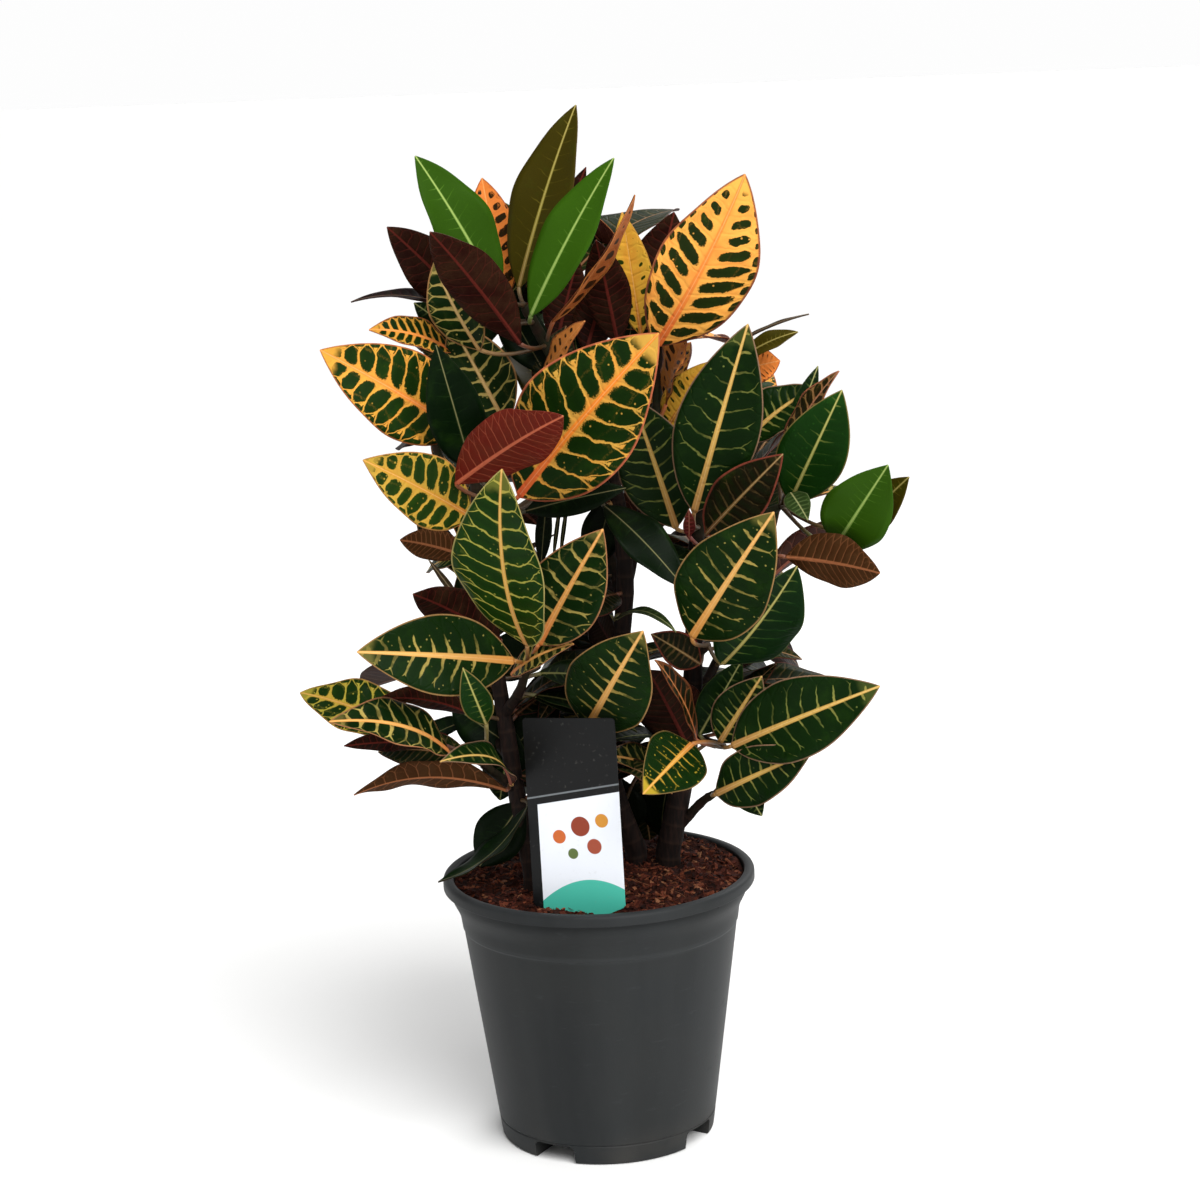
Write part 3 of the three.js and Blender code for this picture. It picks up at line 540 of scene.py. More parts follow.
# %% Bark chips and coir fibres
def laid_on_mound(tree, thing, density, seed, smallest, largest, tilt):
    """Copies a thing over the mound, each with its own turn, size and tone."""
    ground = given(tree, "Geometry")
    place = node(tree, "GeometryNodeInputPosition")
    x, y, z = parted(place)
    out = (x * x + y * y).do("SQRT")
    chosen = (z > SOIL["litter_above"] * MM) * (out < SOIL["litter_within"] * MM)
    spots = node(tree, "GeometryNodeDistributePointsOnFaces",
                 {"Mesh": ground, "Selection": chosen, "Density": density, "Seed": seed})

    def chance(low, high, which):
        made = node(tree, "FunctionNodeRandomValue", {"Seed": which}, data_type="FLOAT_VECTOR")
        made.socket.node.inputs[0].default_value = low
        made.socket.node.inputs[1].default_value = high
        return made

    turn = node(tree, "FunctionNodeEulerToRotation", {0: chance((-tilt, -tilt, 0), (tilt, tilt, 6.283), 3)})
    bits = node(tree, "GeometryNodeInstanceOnPoints",
                {"Points": spots, "Instance": thing, "Rotation": turn, "Scale": chance(smallest, largest, 5)})
    tone = node(tree, "FunctionNodeRandomValue", {"Seed": 8}, data_type="FLOAT")
    bits = node(tree, "GeometryNodeStoreNamedAttribute",
                {"Geometry": bits, "Name": "bit_tone", "Value": tone}, data_type="FLOAT", domain="INSTANCE")
    return node(tree, "GeometryNodeRealizeInstances", {0: bits})


def chips_tree(finish):
    tree = new_tree("Bark chips", {"Density": 92000.0, "Seed": 4, "Bend": 0.0011})
    chip = node(tree, "GeometryNodeMeshCube", {"Size": (0.0046, 0.0024, 0.0010), "Vertices X": 4,
                                               "Vertices Y": 3, "Vertices Z": 2})
    chips = laid_on_mound(tree, chip, given(tree, "Density"), given(tree, "Seed"),
                          (0.35, 0.4, 0.5), (1.7, 1.5, 1.5), 0.6)
    place = node(tree, "GeometryNodeInputPosition")
    shake = node(tree, "ShaderNodeTexNoise", {"Vector": place, "Scale": 420.0, "Detail": 2.0})["Color"]
    offset = scaled(shake - (0.5, 0.5, 0.5), given(tree, "Bend") * 2.0)
    bent = node(tree, "GeometryNodeSetPosition", {"Geometry": chips, "Offset": offset})
    hand_over(tree, node(tree, "GeometryNodeSetMaterial", {"Geometry": bent, "Material": finish}))
    return tree


def fibres_tree(finish):
    tree = new_tree("Coir fibres", {"Density": 26000.0, "Seed": 11, "Thickness": 0.00016})
    strand = node(tree, "GeometryNodeCurveQuadraticBezier",
                  {"Resolution": 6, "Start": (-0.007, 0, 0), "Middle": (0.001, 0.004, 0.0035),
                   "End": (0.006, 0, 0.0002)})
    rounds = node(tree, "GeometryNodeCurvePrimitiveCircle",
                  {"Resolution": 4, "Radius": given(tree, "Thickness")})
    strand = node(tree, "GeometryNodeCurveToMesh",
                  {"Curve": strand, "Profile Curve": rounds, "Fill Caps": True})
    fibres = laid_on_mound(tree, strand, given(tree, "Density"), given(tree, "Seed"),
                           (0.3, 0.5, 0.3), (1.3, 1.6, 1.1), 0.35)
    hand_over(tree, node(tree, "GeometryNodeSetMaterial", {"Geometry": fibres, "Material": finish}))
    return tree


# %% [markdown]
# Wet bark is a dark red-brown, nearly black in the hollows, and dry coir is a paler, redder brown. The
# ground takes its colour from two noises, and the chips and fibres from their tone.

# %% Soil finishes
soil_mix, tree, surface = new_finish("Soil_mix")
where = object_place(tree)
lumps, specks = noise(tree, where, 230.0, 4, 0.65), noise(tree, where, 1100.0, 3, 0.6)
tone = mixed(lumps.rise(0.34, 0.66), paint("140805"), paint("3e1b10"))
tone = mixed(specks.rise(0.56, 0.72) * 0.6, tone, paint("6e3822"))
feed(tree, surface, Base_Color=tone, Roughness=0.8 + specks * 0.2,
     Normal=bumped(tree, lumps * 0.6 + specks * 0.4, 0.0012, 0.9))
surface.inputs["Specular IOR Level"].default_value = 0.1

bark_chip, tree, surface = new_finish("Bark_chip")
own = node(tree, "ShaderNodeAttribute", attribute_name="bit_tone")["Fac"]
grain = noise(tree, object_place(tree) * (900.0, 2600.0, 900.0), 1.0, 3)
tone = node(tree, "ShaderNodeValToRGB", {"Fac": own},
            stops=[(0.0, paint("160806")), (0.3, paint("2e120b")), (0.6, paint("4c2014")),
                   (0.88, paint("743c26")), (1.0, paint("8e6042"))])
tone = mixed(grain.rise(0.4, 0.7) * 0.5, tone, paint("1e0c07"))
feed(tree, surface, Base_Color=tone, Roughness=0.72 + grain * 0.2, Normal=bumped(tree, grain, 0.0004, 0.6))
surface.inputs["Specular IOR Level"].default_value = 0.15

soil = grow(new_piece("soil_surface", mound_mesh(84, 180)), lumpy_tree(soil_mix))
print("the mound rises to", round(max(v.co.z for v in soil.data.vertices), 4), "m")
chips = grow(new_piece("bark_chips", soil.data.copy()), chips_tree(bark_chip))
fibres = grow(new_piece("coir_fibres", soil.data.copy()), fibres_tree(bark_chip))
for piece in (soil, chips, fibres):
    finish_piece(piece, ["soil"])


# %% [markdown]
# ## The plant label
# A label is a card of thin stiff plastic, cut to one outline with a pointed stake below. Its corners are
# rounded so that nobody is scratched. It leans a little back and to one side, and is turned towards the
# right. Only its front is printed, by sums on the card's own flat coordinates, so the print stays on the
# card whichever way that leans. The back's coordinates are moved aside, where those sums give white.

# %% Cut the card
LABEL = {"width": 64, "height": 127, "thickness": 0.8, "stake": 34, "stake_length": 42,
         "middle": (-13, -73, 176), "turn": -21, "side_lean": -2.8, "back_lean": 4}


def corner_round(x, y, radius, start, steps=6):
    """Points round a corner whose circle is centred on x and y, a quarter turn from start degrees."""
    turns = [math.radians(start + 90 * step / steps) for step in range(steps + 1)]
    return [(x + radius * math.cos(a), y + radius * math.sin(a)) for a in turns]


half, stake, foot = LABEL["width"] / 2, LABEL["stake"] / 2, -LABEL["stake_length"]
outline = [(0, foot), (stake, foot + 14), (stake, -4.5), (stake + 1.5, -2.2), (half - 1.5, 2.8)]
outline += [(half, 4.5)] + corner_round(half - 2.5, LABEL["height"] - 2.5, 2.5, 0)
outline += corner_round(2.5 - half, LABEL["height"] - 2.5, 2.5, 90)
outline += [(-half, 4.5), (1.5 - half, 2.8), (-stake - 1.5, -2.2), (-stake, -4.5), (-stake, foot + 14)]

mesh = bpy.data.meshes.new("plant_label")
shape = bmesh.new()
half_thick = LABEL["thickness"] / 2
front = shape.faces.new([shape.verts.new((x * MM, y * MM, half_thick * MM)) for x, y in outline])
pulled = bmesh.ops.extrude_face_region(shape, geom=[front], use_keep_orig=True)
for vert in (v for v in pulled["geom"] if isinstance(v, bmesh.types.BMVert)):
    vert.co.z = -half_thick * MM
bmesh.ops.recalc_face_normals(shape, faces=shape.faces)
rims = [edge for edge in shape.edges if len(edge.link_faces) == 2 and edge.calc_face_angle(0) > 1.2
        and abs(edge.verts[0].co.z - edge.verts[1].co.z) < 1e-5]
bmesh.ops.bevel(shape, geom=rims, offset=0.16 * MM, segments=2, affect="EDGES", profile=0.5)
flat = shape.loops.layers.uv.new("card")
for face in shape.faces:
    aside = 3 if face.normal.z < -0.5 else 0
    for loop in face.loops:
        point = loop.vert.co / MM
        loop[flat].uv = (point.x / LABEL["width"] + 0.5 + aside, point.y / LABEL["height"])
bmesh.ops.triangulate(shape, faces=[face for face in shape.faces if len(face.verts) > 4])
shape.to_mesh(mesh)
shape.free()
stand = Matrix.Translation(Vector(LABEL["middle"]) * MM)
stand = stand @ Matrix.Rotation(math.radians(LABEL["turn"]), 4, "Z")
stand = stand @ Matrix.Rotation(math.radians(LABEL["side_lean"]), 4, "Y")
stand = stand @ Matrix.Rotation(math.radians(90 - LABEL["back_lean"]), 4, "X")
mesh.transform(stand)
label = new_piece("plant_label_card", mesh)


# %% [markdown]
# The print is three plain fields. Charcoal covers the top down to a slanting edge, and runs on down the
# left side as a strip. A thin grey line crosses it a little above that edge. Teal rises from the foot
# as a low hill, and the rest is white with a few dots. A dot is where the distance to its middle is
# less than its radius.

# %% Print the card
DOTS = ((4, 56, 6.5, "8a3a26"), (19, 60, 4.5, "c98a34"), (-11, 49, 4.5, "c2622e"),
        (13, 43, 5, "9c4a34"), (-2, 38, 3.5, "5a6b3a"))
FIELDS = {"edge": 74.0, "slope": 0.16, "line": 5.0, "strip": 0.11, "hill": 21.0, "hill_middle": 10.0,
          "hill_bend": 0.012}
label_print, tree, surface = new_finish("Label_print")
across, up, _ = parted(node(tree, "ShaderNodeUVMap", uv_map="card"))
wide = (across - 0.5) * LABEL["width"]
high = up * LABEL["height"]
printed = across < 2.0


def dot(x, y, radius):
    """1 inside a circle on the card, in millimetres, else 0."""
    return (((wide - x) ** 2.0 + (high - y) ** 2.0).do("SQRT") - radius).rise(0.15, -0.15)


speck = noise(tree, object_place(tree), 320.0, 3)
tone = paint("e4e8ef")
for x, y, radius, colour in DOTS:
    tone = mixed(dot(x, y, radius), tone, paint(colour))
hill = high - FIELDS["hill"] + (wide - FIELDS["hill_middle"]) ** 2.0 * FIELDS["hill_bend"]
tone = mixed(hill.rise(0.15, -0.15) * printed, tone, paint("45b49f"))
slant = high - FIELDS["edge"] - wide * FIELDS["slope"]
dark = slant.rise(-0.15, 0.15).do("MAXIMUM", across < FIELDS["strip"])
tone = mixed(dark * printed, tone, paint("0a0b0c"))
tone = mixed(abs(slant - FIELDS["line"]).rise(0.7, 0.4) * printed, tone, paint("6c7174"))
tone = mixed(speck.rise(0.62, 0.8) * 0.12, tone, paint("8a8880"))
feed(tree, surface, Base_Color=tone, Roughness=0.3 + speck * 0.2, Normal=bumped(tree, speck, 0.00015, 0.25))
surface.inputs["Specular IOR Level"].default_value = 0.22
label.data.materials.append(label_print)
finish_piece(label, ["plant_label"])


# %% [markdown]
# ## Where the plant's points lie
# Each leaf's ends were read from the view as a column and a row, with a depth in millimetres towards the
# back. `seen` turns those into a place in the row's frame, and `places_in_view` goes the other way. Both
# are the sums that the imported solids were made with, so the fine leaves fall on the plain ones.

# %% From the view to the plant
def seen(place):
    column, row, depth = place
    right, up = column - VIEW["centre"], VIEW["centre"] - row
    x = (right * math.cos(VIEW["roll"]) + up * math.sin(VIEW["roll"])) / VIEW["focal"]
    y = (up * math.cos(VIEW["roll"]) - right * math.sin(VIEW["roll"])) / VIEW["focal"]
    forward = math.cos(VIEW["pitch"]) + y * math.sin(VIEW["pitch"])
    rise = y * math.cos(VIEW["pitch"]) - math.sin(VIEW["pitch"])
    reach = (VIEW["distance"] + depth) / forward
    return np.array([VIEW["side"] + reach * x, depth, VIEW["height"] + reach * rise])


def places_in_view(points):
    """Column and row of each point."""
    x, y, z = np.asarray(points).T
    x, y, z = x - VIEW["side"], y + VIEW["distance"], z - VIEW["height"]
    depth = y * math.cos(VIEW["pitch"]) - z * math.sin(VIEW["pitch"])
    right = x / depth * VIEW["focal"]
    up = (z * math.cos(VIEW["pitch"]) + y * math.sin(VIEW["pitch"])) / depth * VIEW["focal"]
    return np.stack([VIEW["centre"] + right * math.cos(VIEW["roll"]) - up * math.sin(VIEW["roll"]),
                     VIEW["centre"] - right * math.sin(VIEW["roll"]) - up * math.cos(VIEW["roll"])], axis=1)


def smooth_path(points, steps):
    """A Catmull-Rom curve through the points."""
    path = [points[0]]
    for i in range(len(points) - 1):
        a, b, c, d = points[max(0, i - 1)], points[i], points[i + 1], points[min(len(points) - 1, i + 2)]
        for step in range(1, steps + 1):
            t = step / steps
            path.append(0.5 * (2 * b + (c - a) * t + (2 * a - 5 * b + 4 * c - d) * t * t
                               + (3 * b - a - 3 * c + d) * t * t * t))
    return path


# %% [markdown]
# ## Stems and shoots
# A croton branches low, and each branch is a tapered woody rod. The old wood is dark brown, with a ring
# where each fallen leaf was joined, and the young tips are green. A path with a radius at each point
# is what a sweep needs: Curve to Mesh runs a circle along it, and a noise with rings lifts its skin.

# %% The paths
STEMS = {
    "left_stem": {
        "radius": 6.5, "root": (533, 880, -28),
        "main": [(518, 800, -26), (505, 720, -20), (492, 640, -18), (482, 560, -14), (476, 490, -12),
                 (472, 425, -8)],
        "shoots": [[(516, 790, -26), (498, 776, -34), (482, 764, -42)],
                   [(504, 715, -20), (520, 690, -38), (527, 664, -56)],
                   [(484, 575, -15), (500, 535, -34), (508, 505, -44)]],
        "far": [(3, (-24, 30, 28), (-44, 50, 54)), (5, (-14, 32, 42), (-32, 54, 84)),
                (8, (-18, 26, 40), (-34, 44, 86)), (11, (-8, 22, 30), (-14, 40, 62))]},
    "centre_stem": {
        "radius": 7.5, "root": (636, 846, 14),
        "main": [(608, 762, 6), (619, 660, 4), (625, 570, 2), (612, 480, 0), (580, 405, -4), (546, 345, -8),
                 (524, 305, -10)],
        "shoots": [[(622, 610, 3), (640, 520, 8), (655, 430, 8), (656, 365, 6)],
                   [(611, 780, 8), (598, 762, -16), (590, 745, -40)]],
        "far": [(3, (-12, 34, 24), (-22, 58, 56)), (5, (-8, 36, 38), (-18, 62, 82)),
                (7, (-26, 30, 46), (-34, 46, 98)), (8, (30, 34, 38), (36, 50, 84)),
                (11, (-4, 26, 24), (-4, 40, 62))]},
    "right_stem": {
        "radius": 8.5, "root": (668, 850, 8),
        "main": [(682, 780, 4), (691, 710, 0), (694, 630, -2), (694, 560, -4), (706, 495, -4), (722, 440, 2)],
        "shoots": [[(694, 575, -4), (738, 528, -14), (782, 506, -20)],
                   [(691, 735, 0), (708, 742, -16), (724, 746, -30)],
                   [(694, 660, -2), (702, 650, -20), (708, 645, -36)],
                   [(676, 830, 6), (692, 812, 2), (704, 800, -6), (714, 794, -16)]],
        "far": [(4, (22, 34, 30), (38, 56, 62)), (6, (20, 34, 42), (30, 58, 86)),
                (8, (24, 28, 38), (50, 46, 74)), (10, (8, 26, 32), (20, 42, 70))]},
}
TIP_RADIUS = 3.2
SCAR_SPACING = 0.0125


def stem_paths(plan, steps):
    """The main stem, its shoots and its far shoots as lists of points, with so many steps a span."""
    root = seen(plan["root"])
    rise = [np.array([root[0], root[1], SOIL["level"] + 13])] + [seen(place) for place in plan["main"]]
    starts = smooth_path(rise, 2)
    shoots = [smooth_path([seen(place) for place in shoot], steps) for shoot in plan["shoots"]]
    far = [smooth_path([starts[start]] + [starts[start] + np.array(bend) for bend in bends], steps)
           for start, *bends in plan["far"]]
    return smooth_path(rise, steps), shoots, far


for name, plan in STEMS.items():
    main, shoots, far = stem_paths(plan, 2)
    plan["coarse"] = [main] + shoots + far
    plan["far_paths"] = far
    print(name, "has", len(plan["coarse"]), "paths")


# %% Sweep the wood
def wood_tree(finish):
    """Sweeps each path of a wire mesh with a circle as wide as the radius kept at its points."""
    tree = new_tree("Swept wood", {"Sides": 18, "Scar spacing": SCAR_SPACING, "Scar height": 0.0004})
    curve = node(tree, "GeometryNodeMeshToCurve", {"Mesh": given(tree, "Geometry")})
    curve = stored(curve, "wood_run", node(tree, "GeometryNodeSplineParameter")["Length"], "FLOAT")
    circle = node(tree, "GeometryNodeCurvePrimitiveCircle",
                  {"Resolution": given(tree, "Sides"), "Radius": 1.0})
    rod = node(tree, "GeometryNodeCurveToMesh", {"Curve": curve, "Profile Curve": circle, "Fill Caps": True,
                                                 "Scale": named(tree, "wood_radius", "FLOAT")})
    beat = (named(tree, "wood_run", "FLOAT") / given(tree, "Scar spacing")).do("FRACT")
    scar = beat.rise(0.0, 0.12) * beat.rise(0.34, 0.14)
    knots = noise(tree, node(tree, "GeometryNodeInputPosition"), 140.0, 3)
    lift = (scar * 0.8 + knots * 1.6 - 0.8) * given(tree, "Scar height")
    out = node(tree, "GeometryNodeInputNormal")
    skin = node(tree, "GeometryNodeSetPosition", {"Geometry": rod, "Offset": scaled(out, lift)})
    skin = node(tree, "GeometryNodeSetShadeSmooth", {0: skin})
    skin = node(tree, "GeometryNodeRealizeInstances", {0: skin})
    hand_over(tree, node(tree, "GeometryNodeSetMaterial", {"Geometry": skin, "Material": finish}))
    return tree


def wire_mesh(name, runs):
    """Loose edges through each run of points, with wood_radius and wood_age at each point."""
    mesh = bpy.data.meshes.new(name)
    points, edges, radii, ages = [], [], [], []
    for path, start, end, age in runs:
        length = len(path) - 1
        edges += [(len(points) + i, len(points) + i + 1) for i in range(length)]
        points += [tuple(point * MM) for point in path]
        radii += [(start + (end - start) * i / length) * MM for i in range(length + 1)]
        ages += [age * (1 - i / length) for i in range(length + 1)]
        radii[-1] *= 0.25
    mesh.from_pydata(points, edges, [])
    for label, values in (("wood_radius", radii), ("wood_age", ages)):
        mesh.attributes.new(label, "FLOAT", "POINT").data.foreach_set("value", values)
    return mesh


# %% [markdown]
# The bark's own finish follows the sweep: how far along (`wood_run`) sets the scars, and how old
# (`wood_age`) turns green shoots into dark brown wood.

# %% Bark
bark, tree, surface = new_finish("Croton_bark")
age = node(tree, "ShaderNodeAttribute", attribute_name="wood_age")["Fac"]
run = node(tree, "ShaderNodeAttribute", attribute_name="wood_run")["Fac"]
where = object_place(tree)
streak = noise(tree, where * (420.0, 420.0, 60.0), 1.0, 4, 0.6)
patch = noise(tree, where, 55.0, 3)
beat = (run / SCAR_SPACING).do("FRACT")
scar = beat.rise(0.0, 0.08) * beat.rise(0.3, 0.12)
young = mixed(patch.rise(0.35, 0.65), paint("1c1e0c"), paint("24140c"))
old = mixed(streak.rise(0.35, 0.7), paint("0e0705"), paint("241611"))
tone = mixed((age + patch * 0.3 - 0.1).rise(0.1, 0.5), young, old)
tone = mixed(scar * 0.3, tone, paint("34241a"))
feed(tree, surface, Base_Color=tone, Roughness=0.65 + streak * 0.25,
     Normal=bumped(tree, streak * 0.7 + scar * 0.3, 0.0006, 0.7))
surface.inputs["Specular IOR Level"].default_value = 0.15

for name, plan in STEMS.items():
    main, shoots, far = stem_paths(plan, 8)
    bottom = np.array([main[0][0], main[0][1], 110.0])
    runs = [([bottom] + main, plan["radius"], TIP_RADIUS, 1.0)]
    runs += [(path, TIP_RADIUS + 0.6, TIP_RADIUS - 0.7, 0.55) for path in shoots + far]
    wood = grow(new_piece(name.replace("_stem", "_wood"), wire_mesh(name, runs)), wood_tree(bark))
    finish_piece(wood, [name])


# %% [markdown]
# ## Leaves
# A croton leaf is a thick, glossy, pointed oval, folded a little along a strong midrib. No two are
# coloured alike: the young upper ones are gold, orange or plain green, and the lower ones dark green
# with pale veins. So the shape is one rule and the colours are a table of looks. Every leaf that can be
# seen has a row: its name, the place of its tip, the place of its blade's base, its width, its arch,
# the way its upper face looks, and its look.

# %% The leaves that are seen
FACING = {"front": (0, -1, 0.35), "frontLeft": (-0.5, -1, 0.3), "frontRight": (0.5, -1, 0.3),
          "frontUp": (0, -0.65, 0.75), "up": (0, -0.25, 1), "back": (0, 1, 0.3), "backUp": (0, 0.75, 0.65),
          "left": (-1, -0.35, 0.35), "right": (1, -0.35, 0.3)}

LEAVES = {
    "left_stem": [
        ("curled_small", (369, 330, -38), (452, 352, -15), 28, 6, "frontUp", "orange_net"),
        ("left_big_net", (320, 350, -93), (462, 432, -37), 56, 7, "front", "orange_net"),
        ("dark_upright", (436, 345, -88), (472, 470, -51), 36, 5, "front", "near_black"),
        ("middle_net", (450, 322, -14), (506, 425, -8), 44, 4, "front", "cream_net"),
        ("red_underside", (563, 416, -158), (456, 484, -73), 44, 5, "back", "crimson_back"),
        ("centre_hero", (659, 333, -112), (519, 496, -68), 78, 9, "front", "hero"),
        ("left_mid_yellow", (363, 460, -106), (470, 516, -51), 45, 6, "front", "yellow_net"),
        ("brown_left", (400, 540, -38), (466, 556, -22), 24, 3, "back", "brown_back"),
        ("bare_twig", (428, 559, -22), (462, 604, -18), 5, 2, "front", "twig"),
        ("maroon_mid_left", (413, 594, -75), (500, 640, -40), 34, 5, "back", "maroon_back"),
        ("front_net", (502, 469, -162), (527, 645, -84), 66, 12, "frontLeft", "fresh_net"),
        ("front_net_pair", (603, 529, -117), (539, 644, -75), 50, 5, "front", "peach_rib"),
        ("lower_left_hero", (357, 652, -114), (514, 661, -70), 52, 6, "front", "thick_rib"),
        ("small_green", (463, 668, -127), (486, 724, -81), 20, 2, "front", "plain_green"),
        ("far_lower_left", (300, 693, 12), (424, 740, -26), 42, 7, "frontUp", "leafy_net"),
        ("near_lower_left", (329, 722, -122), (450, 754, -70), 38, 13, "frontUp", "peach_rib"),
        ("folded_green", (440, 762, -112), (511, 784, -51), 26, 14, "frontUp", "sparse"),
        ("brown_low", (354, 795, -83), (506, 790, -46), 32, 12, "backUp", "brown_back"),
        ("small_maroon", (344, 746, -56), (440, 744, -40), 16, 4, "back", "maroon_back"),
        ("purple_edge", (378, 699, -40), (472, 714, -31), 26, 6, "backUp", "maroon_back"),
        ("rim_drooper", (438, 882, -75), (528, 806, -48), 30, -9, "left", "near_black"),
        ("behind_label", (574, 644, -88), (512, 674, -57), 26, 4, "frontUp", "peach_rib"),
    ],
    "centre_stem": [
        ("top_bronze", (576, 105, 12), (519, 288, 0), 42, 4, "frontLeft", "bronze"),
        ("left_new_green", (415, 156, -51), (498, 295, -31), 42, 4, "frontRight", "new_green"),
        ("orange_back", (482, 178, 44), (505, 300, 22), 34, 4, "front", "orange"),
        ("right_new_green", (614, 158, -67), (531, 316, -42), 36, 4, "frontLeft", "new_green"),
        ("maroon_narrow", (586, 167, 30), (534, 300, 8), 24, 4, "back", "maroon_back"),
        ("maroon_left", (387, 227, -11), (482, 322, -11), 38, 5, "back", "maroon_back"),
        ("maroon_drooper", (430, 232, -101), (520, 344, -44), 36, 6, "back", "maroon_back"),
        ("left_net", (434, 262, -46), (480, 350, -29), 34, 4, "frontLeft", "cream_net"),
        ("thin_arched", (351, 302, 4), (470, 318, 2), 20, 9, "up", "purple"),
        ("small_dark", (414, 303, 22), (470, 345, 14), 22, 3, "front", "dark_rib"),
        ("peach_strip", (585, 321, -40), (542, 388, -13), 24, 3, "left", "peach"),
        ("yellow_side_on", (635, 195, -35), (553, 322, -18), 32, 4, "right", "rust"),
        ("bright_yellow", (622, 212, 6), (641, 335, 14), 27, 3, "front", "bright_yellow"),
        ("maroon_inner", (596, 240, -6), (618, 344, 2), 30, 4, "back", "maroon_back"),
        ("top_right_hero", (745, 174, -43), (656, 346, -24), 68, 8, "frontRight", "golden"),
        ("maroon_behind", (674, 212, 40), (648, 335, 26), 44, 4, "back", "maroon_back"),
        ("peach_bit", (694, 320, -9), (666, 404, 6), 36, 3, "left", "peach"),
        ("yellow_wedge", (708, 362, 4), (666, 430, 10), 28, 3, "front", "bright_yellow"),
        ("long_dark", (684, 588, -78), (604, 506, -44), 30, 5, "frontUp", "near_black"),
        ("narrow_curl", (676, 632, -64), (617, 618, -24), 11, 9, "up", "grey_green"),
        ("label_top", (643, 631, -108), (587, 728, -45), 58, 3, "front", "thick_rib"),
    ],
    "right_stem": [
        ("right_hero", (748, 324, -88), (694, 512, -53), 54, 5, "front", "sparse"),
        ("centre_dark_net", (632, 398, -34), (676, 528, -30), 50, 4, "front", "sparse"),
        ("thread_leaf", (809, 314, 4), (738, 342, 10), 5, 2, "up", "twig"),
        ("small_pointed", (798, 332, 16), (742, 358, 18), 16, 3, "frontUp", "bronze"),
        ("orange_bit", (780, 361, 30), (738, 372, 28), 24, 3, "front", "orange"),
        ("dark_right", (815, 388, 2), (746, 442, 2), 36, 5, "frontUp", "sparse"),
        ("narrow_twist", (839, 371, -38), (782, 458, -20), 26, 3, "left", "olive_pink"),
        ("green_spike", (818, 366, 0), (790, 440, -2), 14, 3, "front", "dark_rib"),
        ("upper_green", (842, 390, -72), (790, 502, -44), 44, 5, "front", "plain_green"),
        ("small_grey", (808, 520, -75), (790, 492, -46), 16, 2, "front", "grey_green"),
        ("brown_fold", (783, 454, -93), (706, 534, -55), 36, 4, "front", "dusky"),
        ("bright_green", (888, 465, -124), (836, 546, -72), 44, 4, "front", "new_green"),
        ("far_right_tip", (909, 477, -96), (852, 532, -56), 28, 3, "front", "bronze"),
        ("brown_underside", (880, 573, -112), (786, 557, -74), 38, 3, "back", "brown_back"),
        ("lower_mid_hero", (774, 512, -135), (692, 637, -73), 60, 6, "front", "thick_rib"),
        ("behind_mid_hero", (797, 566, -88), (722, 664, -46), 52, 5, "frontRight", "dark_glossy"),
        ("lower_right_hero", (880, 686, -109), (732, 746, -62), 52, 9, "front", "sparse"),
        ("lower_right_second", (813, 750, -98), (716, 794, -44), 38, 6, "front", "sparse"),
        ("dark_low_tip", (762, 816, -46), (736, 776, -26), 22, 3, "front", "dark_rib"),
        ("front_small", (643, 794, -143), (692, 744, -73), 42, 5, "front", "yellow_tip"),
        ("dark_vertical", (742, 660, -35), (700, 734, -22), 26, 3, "front", "dark_rib"),
        ("dark_vertical_twin", (762, 676, -54), (720, 742, -35), 34, 3, "front", "sparse"),
        ("orange_fold", (655, 660, -83), (696, 740, -44), 28, 4, "right", "rust_edge"),
        ("pink_bud", (689, 510, -61), (689, 536, -37), 8, 1, "front", "pink"),
        ("tan_tip", (651, 634, -40), (700, 664, -24), 24, 3, "front", "dusky"),
        ("dark_maroon_low", (648, 670, -35), (690, 752, -18), 44, 4, "back", "maroon_back"),
    ],
}
print(sum(len(rows) for rows in LEAVES.values()), "leaves are seen")

# %% [markdown]
# A look has seven colours: the blade between its veins, the veins, the midrib, the midrib near its
# base, the margin, the underside and the underside's veins. Then come sizes: the vein's half width in
# millimetres, how far out the veins reach as a share of the half width, and how strong the fine net is;
# how much gold spreads from the veins, the margin's width, and how many pale specks there are; the
# midrib's half width, how gold the tip is, and how many side veins there are.

